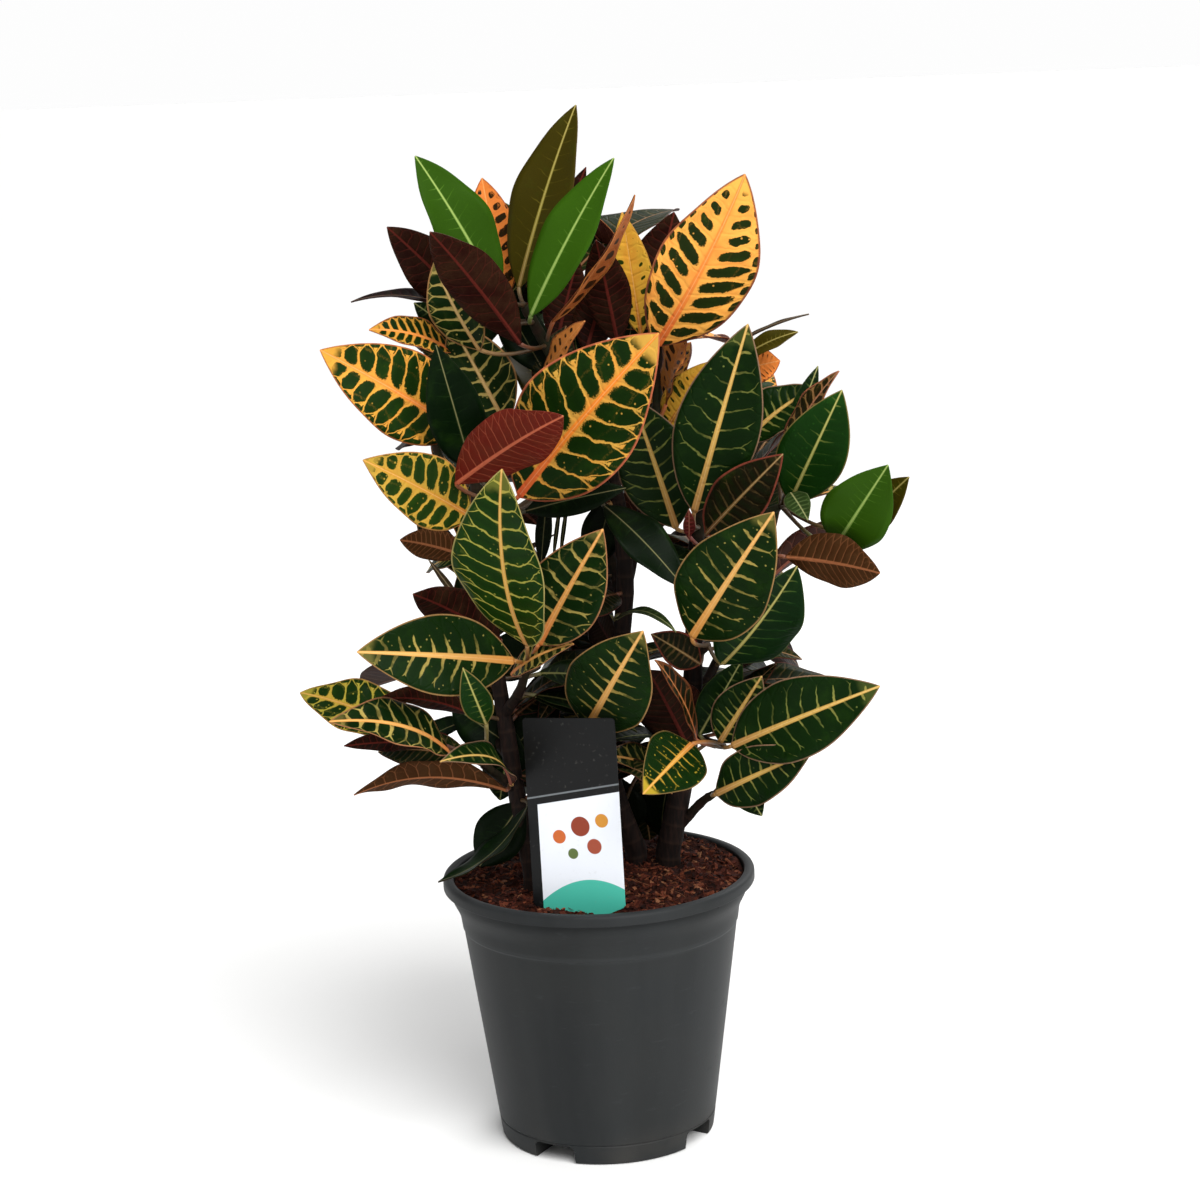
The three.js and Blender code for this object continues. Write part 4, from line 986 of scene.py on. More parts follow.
# %% The looks
LOOKS = {
    "hero": ("163006", "cc9c42", "e8842e", "e26234", "b05a40", "5a1d18", "a05440",
             (0.85, 1.25, 0.1), (0.07, 1.5, 0.1), (2.5, 0.9, 9)),
    "golden": ("26300a", "eca84a", "e6863a", "da6a30", "7a3a30", "6a2818", "b87048",
               (1.6, 1.3, 0.1), (0.3, 1.8, 0.15), (2.6, 1.0, 10)),
    "orange_net": ("1f3a0d", "d49a3a", "ee8e3c", "dd7438", "a8603a", "5a2218", "a05c40",
                   (0.75, 1.25, 0.1), (0.08, 1.0, 0.15), (1.9, 0.9, 9)),
    "yellow_net": ("26400e", "bc983a", "c88e34", "c07c34", "a87440", "5a3018", "a06a40",
                   (0.8, 1.2, 0.12), (0.18, 0.9, 0.3), (1.6, 0.7, 8)),
    "leafy_net": ("1e3c0c", "a89a38", "c09038", "b87c38", "a87c44", "4a2c18", "906240",
                  (0.65, 1.1, 0.15), (0.09, 0.9, 0.4), (1.5, 0.7, 8)),
    "cream_net": ("142a0a", "a89850", "c4a064", "b88c54", "a87a4c", "451e14", "925c4c",
                  (0.65, 1.0, 0.1), (0.04, 1.3, 0.2), (1.3, 0.4, 7)),
    "fresh_net": ("1a3c08", "a09c44", "c8994a", "bc864c", "a89a5c", "4a2818", "986040",
                  (0.62, 1.0, 0.0), (0.03, 1.0, 0.1), (1.9, 0.3, 10)),
    "peach_rib": ("122c0a", "a89a50", "dc9c50", "e48a48", "a06c48", "40180f", "8c5040",
                  (0.95, 0.95, 0.05), (0.0, 1.0, 0.1), (2.2, 0.2, 8)),
    "thick_rib": ("142e08", "9c9048", "e0a85c", "dc984c", "a07a4c", "40180f", "8c5040",
                  (0.8, 0.62, 0.0), (0.0, 1.0, 0.15), (2.4, 0.3, 9)),
    "sparse": ("122c08", "76803e", "c49c50", "b8884c", "8c6c54", "38140f", "804a3a",
               (0.5, 0.68, 0.0), (0.0, 0.9, 0.05), (2.0, 0.2, 9)),
    "dark_rib": ("0d2409", "18340f", "7c8448", "70703c", "343f1e", "2c110c", "5c3424",
                 (0.3, 0.6, 0.1), (0.0, 0.5, 0.0), (0.8, 0.0, 10)),
    "near_black": ("081a06", "0c2009", "2c3c1a", "2a2c16", "141c0c", "1c0c08", "3c241a",
                   (0.2, 0.5, 0.0), (0.0, 0.5, 0.0), (0.8, 0.0, 9)),
    "plain_green": ("163c0c", "1c4410", "9a9a4c", "8c8048", "7c6a3a", "402414", "845440",
                    (0.25, 0.5, 0.0), (0.0, 0.8, 0.2), (1.0, 0.5, 9)),
    "dark_glossy": ("0f300d", "1b4414", "98924c", "8c7c44", "4a5430", "2c110c", "5c3424",
                    (0.35, 0.6, 0.1), (0.0, 0.5, 0.0), (1.2, 0.1, 10)),
    "new_green": ("38600c", "3a620c", "7ea048", "80a04c", "30540c", "356a26", "6e9c4c",
                  (0.1, 0.4, 0.0), (0.0, 0.4, 0.0), (1.1, 0.0, 13)),
    "bronze": ("4a4008", "4c420a", "8a7e34", "846a38", "4c3c14", "482c16", "7c6038",
               (0.15, 0.5, 0.0), (0.0, 0.5, 0.0), (1.2, 0.0, 12)),
    "bright_yellow": ("3a5010", "e0b03c", "dc9a34", "cc8034", "b88438", "6a3018", "b07040",
                      (1.5, 1.3, 0.5), (0.6, 0.9, 0.2), (1.6, 1.0, 8)),
    "yellow_tip": ("142e0a", "a88e2a", "c8903a", "c07a38", "7c6238", "4a2016", "925848",
                   (0.45, 0.6, 0.0), (0.0, 0.8, 0.5), (1.7, 1.0, 8)),
    "rust": ("4a2410", "a0562a", "c0703a", "b86030", "c07a3c", "5a2414", "9a5430",
             (0.9, 1.1, 0.2), (0.5, 2.0, 0.1), (1.6, 0.8, 8)),
    "peach": ("4c2c12", "dd8a44", "e08a40", "d07038", "a05c38", "6a301c", "b06c44",
              (1.4, 1.2, 0.4), (0.55, 0.9, 0.2), (1.5, 1.0, 8)),
    "orange": ("3c2410", "d87834", "e0843a", "d06c30", "9c5230", "6a2a1a", "b06440",
               (1.3, 1.2, 0.4), (0.4, 0.9, 0.3), (1.5, 0.9, 8)),
    "rust_edge": ("1e1206", "543018", "a05c2c", "964a28", "6c3c20", "2c1008", "7a4024",
                  (0.6, 0.8, 0.2), (0.05, 2.2, 0.1), (1.5, 0.9, 8)),
    "crimson_back": ("3c3a18", "7a5a30", "a0683a", "9a5434", "8a3a34", "82261a", "c46648",
                     (0.5, 1.0, 0.2), (0.0, 0.8, 0.0), (1.0, 0.0, 15)),
    "maroon_back": ("202a10", "54482a", "7c5634", "74402e", "562820", "260804", "582018",
                    (0.45, 1.0, 0.2), (0.0, 0.7, 0.0), (1.0, 0.0, 12)),
    "brown_back": ("2a3614", "74643a", "946a40", "8c523a", "683c2c", "4e2e14", "965c3a",
                   (0.5, 1.0, 0.2), (0.0, 0.9, 0.0), (1.1, 0.0, 12)),
    "purple": ("241012", "301618", "4c2a28", "4c2a28", "3c1e1c", "200e10", "482826",
               (0.3, 0.8, 0.1), (0.0, 0.5, 0.0), (0.8, 0.0, 12)),
    "grey_green": ("3c5026", "4a6034", "7a8854", "7a7a4c", "5a6640", "4a4a2e", "787850",
                   (0.3, 0.8, 0.1), (0.0, 0.4, 0.0), (0.6, 0.0, 8)),
    "pink": ("7c2c2c", "944040", "a45044", "944038", "7c2c2c", "6e2424", "94403c",
             (0.3, 0.8, 0.0), (0.0, 0.3, 0.0), (0.5, 0.0, 6)),
    "twig": ("4c3c2c", "5a4836", "5a4836", "4c3c2c", "4c3c2c", "3c2e22", "4c3c2c",
             (0.2, 0.5, 0.0), (0.0, 0.3, 0.0), (0.4, 0.0, 6)),
    "dusky": ("1c1406", "443820", "7a5c34", "6c4a2e", "7c3a2c", "2c0e0c", "5a2c20",
              (0.5, 0.7, 0.2), (0.0, 1.5, 0.05), (1.2, 0.2, 9)),
    "olive_pink": ("30280f", "8a6c3c", "b07050", "a4583c", "b0684c", "5a2c1c", "9a6448",
                   (0.7, 0.9, 0.2), (0.1, 1.2, 0.1), (1.3, 0.5, 8)),
}
print(len(LOOKS), "looks")


# %% [markdown]
# ## Leaves of the far side
# The leaves at the back can't be read from the view, so they follow the plant's own habit: they spiral
# round each far shoot by the golden angle, steeper towards its tip. One is left out where it would stick
# out of the bush's outline, close one of its gaps, or come near another stem's leaf. The draw is a plain
# seeded one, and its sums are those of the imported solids, so that both sets of leaves agree. The
# outline is read from the view: a row, and the columns of the bush's left and right edge there. Its
# gaps are boxes, from the left and top to the right and bottom.

# %% The shape of a leaf
LEAF = {"fold": 0.2, "widest": 0.92, "fullness": 0.85}
FAR = {"seed": 20, "per_shoot": 13, "golden": math.radians(137.5), "petiole": 24, "lengths": (132, 112, 92),
       "slenderness": 0.42, "arch": 0.07, "lowest": -4, "steepest": 72, "droop": (6, 34), "own": 8,
       "other": 13, "wood": 20, "reach": 164, "nearest_tip": 8, "nearest_base": -12, "low": 340,
       "middle": 470}
OUTLINE = [(150, 500, 614), (200, 440, 730), (230, 400, 750), (260, 410, 740), (300, 425, 715),
           (350, 345, 770), (400, 380, 840), (450, 370, 840), (500, 400, 878), (550, 408, 868),
           (600, 418, 800), (650, 365, 795), (700, 310, 866), (740, 345, 840), (780, 400, 800),
           (800, 510, 740)]
SEE_THROUGH = [(628, 570, 688, 642), (548, 508, 582, 556), (530, 316, 536, 326), (690, 735, 745, 832),
               (430, 800, 500, 850)]


def unit(vector):
    return vector / np.linalg.norm(vector)


def leaf_of(tip, base, width, arch, facing, look):
    facing = np.array(facing, float)
    length = float(np.linalg.norm(tip - base))
    along = unit(tip - base)
    face = unit(facing - along * facing.dot(along))
    return {"tip": tip, "base": base, "width": width, "arch": arch, "along": along, "face": face,
            "side": np.cross(along, face), "length": length, "look": look}


def blade_points(leaf):
    """The midrib and both margins at seven places, which keep leaves apart."""
    t = (np.arange(1, 8) / 7.5)[:, None]
    middle = leaf["base"] + leaf["along"] * leaf["length"] * t + leaf["face"] * leaf["arch"] * 4 * t * (1 - t)
    half = 0.5 * leaf["width"] * np.sin(math.pi * t ** LEAF["widest"]) ** LEAF["fullness"]
    aside = leaf["side"] * half
    return np.stack([middle, middle + aside, middle - aside], axis=1).reshape(-1, 3)


def root_of(leaf, paths):
    """The point of wood that a leaf grows from: near its base, and rather below it than above."""
    points = np.array([point for path in paths for point in path])
    above = np.maximum(0, points[:, 2] - leaf["base"][2] + 8)
    return points[np.argmin(np.linalg.norm(points - leaf["base"], axis=1) + 0.8 * above)]


# %% Grow the far side
def make_random(seed):
    state = [seed]

    def draw():
        state[0] = (state[0] * 1664525 + 1013904223) % 4294967296
        return state[0] / 4294967296
    return draw


def in_outline(place):
    column, row = place
    for (top_row, top_left, top_right), (low_row, low_left, low_right) in zip(OUTLINE, OUTLINE[1:]):
        if top_row <= row <= low_row:
            share = (row - top_row) / (low_row - top_row)
            left = top_left + (low_left - top_left) * share
            right = top_right + (low_right - top_right) * share
            return left < column < right
    return False


def shows_through(place):
    return any(left < place[0] < right and low < place[1] < high for left, low, right, high in SEE_THROUGH)


def nearest(points, others):
    """The least distance between two sets of points. Points far off aren't looked at."""
    low, high = points.min(axis=0) - 30, points.max(axis=0) + 30
    close = others[((others > low) & (others < high)).all(axis=1)]
    if len(close) == 0:
        return 30
    gaps = points[:, None, :] - close[None, :, :]
    return math.sqrt((gaps * gaps).sum(axis=2).min())


def far_leaf(root, azimuth, rise, droop, length, facing, rule):
    def heading(degrees):
        angle = math.radians(degrees)
        level = math.cos(angle)
        return np.array([level * math.sin(azimuth), level * math.cos(azimuth), math.sin(angle)])

    base = root + heading(rise) * rule["petiole"]
    tip = base + heading(rise - droop) * length
    leaf = leaf_of(tip, base, rule["slenderness"] * length, rule["arch"] * length, facing, None)
    leaf["root"], leaf["points"] = root, blade_points(leaf)
    return leaf


def fits(leaf, stem):
    behind = FAR["nearest_tip"] < leaf["tip"][1] < FAR["reach"] and leaf["base"][1] > FAR["nearest_base"]
    if not behind or not all(in_outline(p) and not shows_through(p) for p in places_in_view(leaf["points"])):
        return False
    for other in STEMS.values():
        gap = nearest(leaf["points"], np.concatenate([leaf["points"] for leaf in other["leaves"]]))
        if other is stem:
            if gap <= FAR["own"]:
                return False
        elif gap <= FAR["other"] or nearest(leaf["points"], np.concatenate(other["coarse"])) <= FAR["wood"]:
            return False
    return True


for name, plan in STEMS.items():
    plan["leaves"] = []
    for _, tip, base, width, arch, facing, look in LEAVES[name]:
        leaf = leaf_of(seen(tip), seen(base), width, arch, FACING[facing], look)
        leaf["root"], leaf["points"] = root_of(leaf, plan["coarse"]), blade_points(leaf)
        plan["leaves"].append(leaf)

FAR_LOOKS = {"low": ("sparse", "dark_rib", "thick_rib", "sparse", "peach_rib", "dark_glossy"),
             "middle": ("sparse", "fresh_net", "cream_net", "thick_rib", "maroon_back", "yellow_net"),
             "high": ("golden", "maroon_back", "new_green", "yellow_net", "bronze", "orange_net")}
draw = make_random(FAR["seed"])
for which, (name, plan) in enumerate(STEMS.items()):
    for shoot, path in enumerate(plan["far_paths"]):
        for place in range(FAR["per_shoot"]):
            share = (place + 0.5) / FAR["per_shoot"]
            root = path[math.floor((0.3 + 0.7 * share) * (len(path) - 1) + 0.5)]
            azimuth = shoot * 1.1 + which * 0.7 + place * FAR["golden"]
            rise = FAR["lowest"] + (FAR["steepest"] - FAR["lowest"]) * share + 14 * (draw() - 0.5)
            size = 0.94 + 0.12 * draw()
            droop = FAR["droop"][0] + (FAR["droop"][1] - FAR["droop"][0]) * draw()
            facing = (0.9 * (draw() - 0.5), 0.6 * draw(), 1)
            for length in FAR["lengths"]:
                leaf = far_leaf(root, azimuth, rise, droop, size * length, facing, FAR)
                if fits(leaf, plan):
                    height = leaf["tip"][2]
                    level = "low" if height < FAR["low"] else "middle" if height < FAR["middle"] else "high"
                    looks = FAR_LOOKS[level]
                    leaf["look"] = looks[(place * 5 + shoot * 3 + which) % len(looks)]
                    plan["leaves"].append(leaf)
                    break
    print(name, "has", len(plan["leaves"]), "leaves")

# %% [markdown]
# ## Small inner leaves
# Between its large leaves a croton is full of smaller and darker ones, which hide most of its wood. Some
# of them show in the gaps, and those have rows in `SHADY`: tip, blade's base, width, facing and look.
# The rest leave every part of a branch in directions drawn at random. Three sizes are tried, largest
# first. One is left out where it would touch another leaf, meet the label, leave the outline, or stand
# in front of a leaf that is seen.

# %% Fill the inside
INNER = {"seed": 77, "every": 6, "tries": 9, "petiole": 12, "lengths": (88, 70, 54), "slenderness": 0.4,
         "arch": 0.08, "lowest": 232, "clearance": 3.6, "wood": 8, "front": -74, "back": 140,
         "hang": 25, "turn": 6.28, "rise": (-15, 70), "droop": (4, 34), "beside_label": 6, "behind_label": 8}
INNER_LOOKS = ("maroon_back", "dark_glossy", "brown_back", "dark_rib", "sparse", "maroon_back", "near_black",
               "dark_rib", "purple", "peach_rib", "dusky")
SHADY = {
    "left_stem": [((500, 800, 8), (512, 728, -4), 30, "front", "dark_rib"),
                  ((480, 866, -22), (522, 802, -28), 34, "front", "near_black"),
                  ((626, 488, -58), (526, 511, -50), 22, "front", "near_black"),
                  ((541, 566, -4), (547, 496, -12), 11, "front", "near_black"),
                  ((553, 562, -6), (561, 498, -12), 3, "front", "near_black"),
                  ((560, 560, -4), (568, 498, -12), 3, "front", "near_black"),
                  ((484, 650, 8), (540, 666, -6), 34, "front", "near_black"),
                  ((452, 706, -6), (508, 744, -12), 32, "front", "near_black"),
                  ((560, 700, 4), (514, 748, -4), 34, "front", "near_black"),
                  ((462, 640, 2), (500, 700, -8), 30, "front", "maroon_back"),
                  ((536, 792, 12), (520, 716, 0), 30, "front", "maroon_back")],
    "centre_stem": [((628, 836, 34), (620, 778, 24), 30, "front", "near_black"),
                    ((500, 296, 12), (545, 374, -2), 30, "front", "near_black"),
                    ((566, 326, 8), (544, 402, -2), 28, "front", "maroon_back"),
                    ((650, 840, 46), (640, 774, 34), 36, "front", "maroon_back"),
                    ((612, 268, 26), (586, 352, 10), 30, "back", "maroon_back"),
                    ((642, 258, 34), (628, 348, 22), 32, "front", "near_black"),
                    ((578, 258, 28), (556, 346, 8), 28, "back", "maroon_back"),
                    ((594, 566, 22), (612, 496, 10), 28, "front", "near_black")],
    "right_stem": [((662, 838, 36), (671, 774, 26), 32, "frontLeft", "near_black"),
                   ((664, 760, 22), (684, 690, 12), 34, "front", "near_black")],
}


def hides_a_leaf(leaf):
    """Whether a leaf stands before the middle of a leaf that the view shows."""
    places = places_in_view(leaf["points"])
    for plan in STEMS.values():
        for other in plan["leaves"]:
            middle = other["places"][0::3]
            reach = np.linalg.norm(other["places"][1::3] - middle, axis=1)
            gaps = np.linalg.norm(places[:, None] - middle[None], axis=2)
            before = leaf["points"][:, None, 1] < other["points"][None, 0::3, 1]
            if (before & (gaps < reach)).any():
                return True
    return False


def meets_label(points):
    """Whether a point is before the card, or close behind it."""
    across, up, out = np.array([tuple(to_card @ Vector(point * MM) / MM) for point in points]).T
    room = INNER["beside_label"]
    over_card = (abs(across) < LABEL["width"] / 2 + room) & (up < LABEL["height"] + room)
    return (over_card & (out > -INNER["behind_label"])).any()


def fits_inside(leaf, stem):
    points = leaf["points"]
    if points[:, 2].min() < INNER["lowest"] - INNER["hang"] or points[:, 1].min() < INNER["front"]:
        return False
    if meets_label(points):
        return False
    if points[:, 1].max() > INNER["back"] or nearest(points, taken) < INNER["clearance"]:
        return False
    if not all(in_outline(place) and not shows_through(place) for place in places_in_view(points)):
        return False
    for other in STEMS.values():
        if other is not stem and nearest(points, np.concatenate(other["coarse"])) < INNER["wood"]:
            return False
    return not hides_a_leaf(leaf)


def drawn_between(low, high):
    return low + (high - low) * draw()


to_card = stand.inverted()
for plan in STEMS.values():
    for leaf in plan["leaves"]:
        leaf["places"] = places_in_view(leaf["points"])
taken = np.concatenate([leaf["points"] for plan in STEMS.values() for leaf in plan["leaves"]])
draw = make_random(INNER["seed"])
for name, plan in STEMS.items():
    plan["inner"] = []
    for tip, base, width, facing, look in SHADY[name]:
        leaf = leaf_of(seen(tip), seen(base), width, 4, FACING[facing], look)
        leaf["root"], leaf["points"] = root_of(leaf, plan["coarse"]), blade_points(leaf)
        plan["inner"].append(leaf)
        taken = np.concatenate([taken, leaf["points"]])
    main, shoots, far = stem_paths(plan, 8)
    for path in [main] + shoots + far:
        walked = 0
        for before, root in zip(path, path[1:]):
            walked += np.linalg.norm(root - before)
            if walked < INNER["every"] or root[2] < INNER["lowest"]:
                continue
            walked = 0
            for length in np.repeat(INNER["lengths"], INNER["tries"]):
                facing = (1.4 * (draw() - 0.5), -1.2 * draw(), 1)
                azimuth = INNER["turn"] * draw()
                rise, droop = drawn_between(*INNER["rise"]), drawn_between(*INNER["droop"])
                leaf = far_leaf(root, azimuth, rise, droop, length, facing, INNER)
                if fits_inside(leaf, plan):
                    leaf["look"] = INNER_LOOKS[int(draw() * len(INNER_LOOKS))]
                    plan["inner"].append(leaf)
                    taken = np.concatenate([taken, leaf["points"]])
                    break
    print(name, "has", len(plan["inner"]), "inner leaves")

# %% [markdown]
# ## One rule for every blade
# Each leaf becomes one point that carries everything about it as attributes. Geometry Nodes puts the
# same flat block on every point and then moves the block's own points: along the midrib's arch, out to
# the half width, and up by the fold, the waves of the margin and the low pillows between the side veins.
# A round stalk is bent from the wood to the blade in the same way.

# %% Points that carry leaves
SHAPING = ("leaf_base", "leaf_root", "leaf_bend", "leaf_along", "leaf_face", "leaf_side", "stalk_face",
           "stalk_side", "leaf_size", "leaf_wave")
PATTERN = ("leaf_form", "leaf_habit", "leaf_rib")


def seed_points(name, leaves):
    """One point a leaf. Lengths become metres."""
    mesh = bpy.data.meshes.new(name)
    mesh.from_pydata([tuple(leaf["root"] * MM) for leaf in leaves], [], [])
    vectors = {key: [] for key in SHAPING + PATTERN}
    colours = {key: [] for key in ("leaf_flesh", "leaf_vein", "leaf_midrib", "leaf_blush", "leaf_edge",
                                   "leaf_under", "leaf_undervein")}
    draw = make_random(len(leaves) * 7 + 5)
    for leaf in leaves:
        look = LOOKS[leaf["look"]]
        form, habit, (rib_width, tip_gold, side_veins) = look[7:]
        chord = leaf["base"] - leaf["root"]
        stalk = unit(chord)
        lean = leaf["face"].dot(stalk)
        face = leaf["face"] if abs(lean) < 0.94 else -leaf["along"] * math.copysign(1, lean)
        face = unit(face - stalk * face.dot(stalk))
        before_blade = leaf["base"] - leaf["along"] * np.linalg.norm(chord) * 0.5
        bend = 0.5 * (leaf["root"] + leaf["base"]) * 0.6 + 0.4 * before_blade
        slim = leaf["width"] / leaf["length"]
        values = {"leaf_base": leaf["base"] * MM, "leaf_root": leaf["root"] * MM, "leaf_bend": bend * MM,
                  "leaf_along": leaf["along"], "leaf_face": leaf["face"], "leaf_side": leaf["side"],
                  "stalk_face": face, "stalk_side": np.cross(stalk, face),
                  "leaf_size": np.array([leaf["length"], leaf["width"], leaf["arch"]]) * MM,
                  "leaf_wave": ((0.5 + draw()) * min(1.6, leaf["width"] / 26) * MM, draw() * 6.28,
                                (draw() - 0.5) * min(0.5, slim)),
                  "leaf_form": form, "leaf_habit": habit,
                  "leaf_rib": (leaf["length"] / side_veins / 1.12,
                               rib_width * min(1.0, leaf["width"] / 46 + 0.15), tip_gold)}
        for key, value in values.items():
            vectors[key] += [float(part) for part in value]
        # Each leaf's flesh and underside get a random tone, and are also darker the lower the blade sits:
        # painted shade for the lower part of the bush.
        shade = (0.55 + 0.3 * draw()) * (0.55 + 0.45 * min(1.0, leaf["base"][2] / 480))
        for key, code in zip(colours, look):
            tint = shade if key in ("leaf_flesh", "leaf_under") else 0.94 + 0.12 * draw()
            colours[key] += [min(1.0, part * tint) for part in paint(code)[:3]] + [1.0]
    for key, values in vectors.items():
        mesh.attributes.new(key, "FLOAT_VECTOR", "POINT").data.foreach_set("vector", values)
    for key, values in colours.items():
        mesh.attributes.new(key, "FLOAT_COLOR", "POINT").data.foreach_set("color", values)
    order = [i * 0.618 % 1 for i in range(len(leaves))]
    mesh.attributes.new("leaf_seed", "FLOAT", "POINT").data.foreach_set("value", order)
    return mesh


# %% The leaf tree
VEIN = {"slant": 0.32, "curve": 0.008}


def leaf_tree(blade_finish, stalk_finish):
    tree = new_tree("Croton leaves", {"Along": 57, "Across": 19, "Thickness": 0.0007, "Pillow": 0.00045,
                                      "Stalk radius": 0.00135})
    seeds = given(tree, "Geometry")
    place = node(tree, "GeometryNodeInputPosition")
    size = named(tree, "leaf_size")
    length, width, arch = parted(size)
    along, face, side = named(tree, "leaf_along"), named(tree, "leaf_face"), named(tree, "leaf_side")
    lift, phase, twist = parted(named(tree, "leaf_wave"))

    block = node(tree, "GeometryNodeMeshCube", {"Size": (1, 1, 1), "Vertices X": given(tree, "Across"),
                                                "Vertices Y": given(tree, "Along"), "Vertices Z": 2})
    block = stored(block, "cut", place)
    blades = node(tree, "GeometryNodeInstanceOnPoints", {"Points": seeds, "Instance": block})
    blades = node(tree, "GeometryNodeRealizeInstances", {0: blades})
    cut_x, cut_y, cut_z = parted(named(tree, "cut"))
    spread, t, layer = cut_x * 2.0, cut_y + 0.5, cut_z * 2.0
    u = spread * (spread * spread * 0.45 + 0.55)
    off = abs(u)

    outline = (t.do("POWER", LEAF["widest"]) * math.pi).do("SINE").do("MAXIMUM", 0.0)
    outline = outline.do("POWER", LEAF["fullness"])
    half = (width * outline * 0.5).do("MAXIMUM", t.rise(0.07, 0.0) * 0.0013 + 0.0003)
    slope = arch * 4.0 * (1.0 - t * 2.0) / length
    heading = node(tree, "ShaderNodeVectorMath", {0: along + scaled(face, slope)}, operation="NORMALIZE")
    upright = face - scaled(heading, node(tree, "ShaderNodeVectorMath", {0: face, 1: heading},
                                          operation="DOT_PRODUCT")["Value"])
    upright = node(tree, "ShaderNodeVectorMath", {0: upright}, operation="NORMALIZE")
    turn = twist * (t - 0.35) * 1.2
    across = scaled(side, turn.do("COSINE")) + scaled(upright, turn.do("SINE"))
    lifted = scaled(upright, turn.do("COSINE")) - scaled(side, turn.do("SINE"))

    millimetres = u * half / MM
    far_off = abs(millimetres)
    belly = (t * math.pi).do("SINE").do("MAXIMUM", 0.0)
    waves = (t * 15.0 + phase + (u > 0.0) * 2.2).do("SINE") * off.do("POWER", 2.5) * belly * lift
    spacing, _, _ = parted(named(tree, "leaf_rib"))
    beat = (t * length / MM - far_off * VEIN["slant"] - far_off * far_off * VEIN["curve"]) / spacing
    pillow = (beat * 2.0 * math.pi).do("COSINE") * (off * 1.2).do("MINIMUM", 1.0) * (1.0 - off * off) * belly
    crease = (far_off * -1.1).do("EXPONENT") * (1.0 - t * 0.75)
    ridge = crease * (layer > 0.0) * 0.0003 - crease * (layer < 0.0) * 0.0011
    skin = layer * given(tree, "Thickness") * 0.5 * (1.0 - off * 0.35)
    relief, _, _ = parted(named(tree, "leaf_form"))
    pillow = pillow * relief.rise(0.1, 0.7) * given(tree, "Pillow")
    height = off.do("POWER", 1.25) * half * LEAF["fold"] + waves - pillow + ridge + skin
    midrib = named(tree, "leaf_base") + scaled(along, length * t) + scaled(face, arch * 4.0 * t * (1.0 - t))
    moved = midrib + scaled(across, u * half) + scaled(lifted, height)
    blades = node(tree, "GeometryNodeSetPosition", {"Geometry": blades, "Position": moved})
    blades = stored(blades, "leaf_place", joined(tree, millimetres, t * length / MM, layer))
    blades = stored(blades, "leaf_span", joined(tree, u, t, half / MM))
    blades = node(tree, "GeometryNodeSetShadeSmooth", {0: blades})
    blades = node(tree, "GeometryNodeSetMaterial", {"Geometry": blades, "Material": blade_finish})

    rod = node(tree, "GeometryNodeMeshCylinder",
               {"Vertices": 10, "Side Segments": 12, "Radius": 1.0, "Depth": 1.0})
    rod = stored(rod, "cut", place)
    stalks = node(tree, "GeometryNodeInstanceOnPoints", {"Points": seeds, "Instance": rod})
    stalks = node(tree, "GeometryNodeRealizeInstances", {0: stalks})
    s = cut_z + 0.5
    path = (scaled(named(tree, "leaf_root"), (1.0 - s) * (1.0 - s))
            + scaled(named(tree, "leaf_bend"), s * (1.0 - s) * 2.0) + scaled(named(tree, "leaf_base"), s * s))
    swell = given(tree, "Stalk radius") * (1.0 + s.rise(0.16, 0.0) * 0.5 + s.rise(0.8, 1.0) * 0.1)
    ring = path + scaled(named(tree, "stalk_face"), cut_x * swell)
    ring = ring + scaled(named(tree, "stalk_side"), cut_y * swell)
    stalks = node(tree, "GeometryNodeSetPosition", {"Geometry": stalks, "Position": ring})
    stalks = stored(stalks, "leaf_place", joined(tree, cut_x, s, 0.0))
    stalks = node(tree, "GeometryNodeSetShadeSmooth", {0: stalks})
    stalks = node(tree, "GeometryNodeSetMaterial", {"Geometry": stalks, "Material": stalk_finish})
    both = node(tree, "GeometryNodeJoinGeometry", {0: blades})
    tree.links.new(stalks.socket, both.socket.node.inputs[0])
    hand_over(tree, node(tree, "GeometryNodeRealizeInstances", {0: both}))
    return tree


# %% [markdown]
# ## The leaf's colours
# A side vein leaves the midrib at a slant, and past half way it forks, each fork meeting its neighbour's
# near the margin. Counting the veins from the base gives a number, `count`, that is whole on every vein,
# so a vein is where it is near a whole number, and a fork is where it is a set distance from one. Gold
# spreads from the veins until only rounded islands of green are left: a long one between each two veins
# and a short one by the margin, in the mouth of each fork. A faint net is the edges of Voronoi cells.
# All of it follows the leaf's own flat coordinates, in millimetres.

# %% Blade finish
blade_finish, tree, surface = new_finish("Croton_blade")


def carried(name, output="Vector"):
    return node(tree, "ShaderNodeAttribute", attribute_name=name)[output]


x, y, layer = parted(carried("leaf_place"))
u, t, half = parted(carried("leaf_span"))
vein_width, vein_reach, net = parted(carried("leaf_form"))
gold, edge_width, specks = parted(carried("leaf_habit"))
spacing, rib_width, tip_gold = parted(carried("leaf_rib"))
own = carried("leaf_seed", "Fac")
off, out = abs(x), abs(u)
flat = joined(tree, x, y, own * 60.0)
wander = noise(tree, flat, 0.1, 2) - 0.5
patchy = noise(tree, flat, 0.06, 3, 0.6)
fine = noise(tree, flat, 0.9, 3, 0.6)

count = (y - off * VEIN["slant"] - off * off * VEIN["curve"]) / spacing
count = count + wander * 0.5 + (x > 0.0) * 0.37 + own * 3.0


def lot(number):
    """A number between 0 and 1 that each whole number has for itself, on each side of each leaf."""
    return ((number * 12.99 + (x > 0.0) * 78.23 + own * 37.7).do("SINE") * 4375.5).do("FRACT")


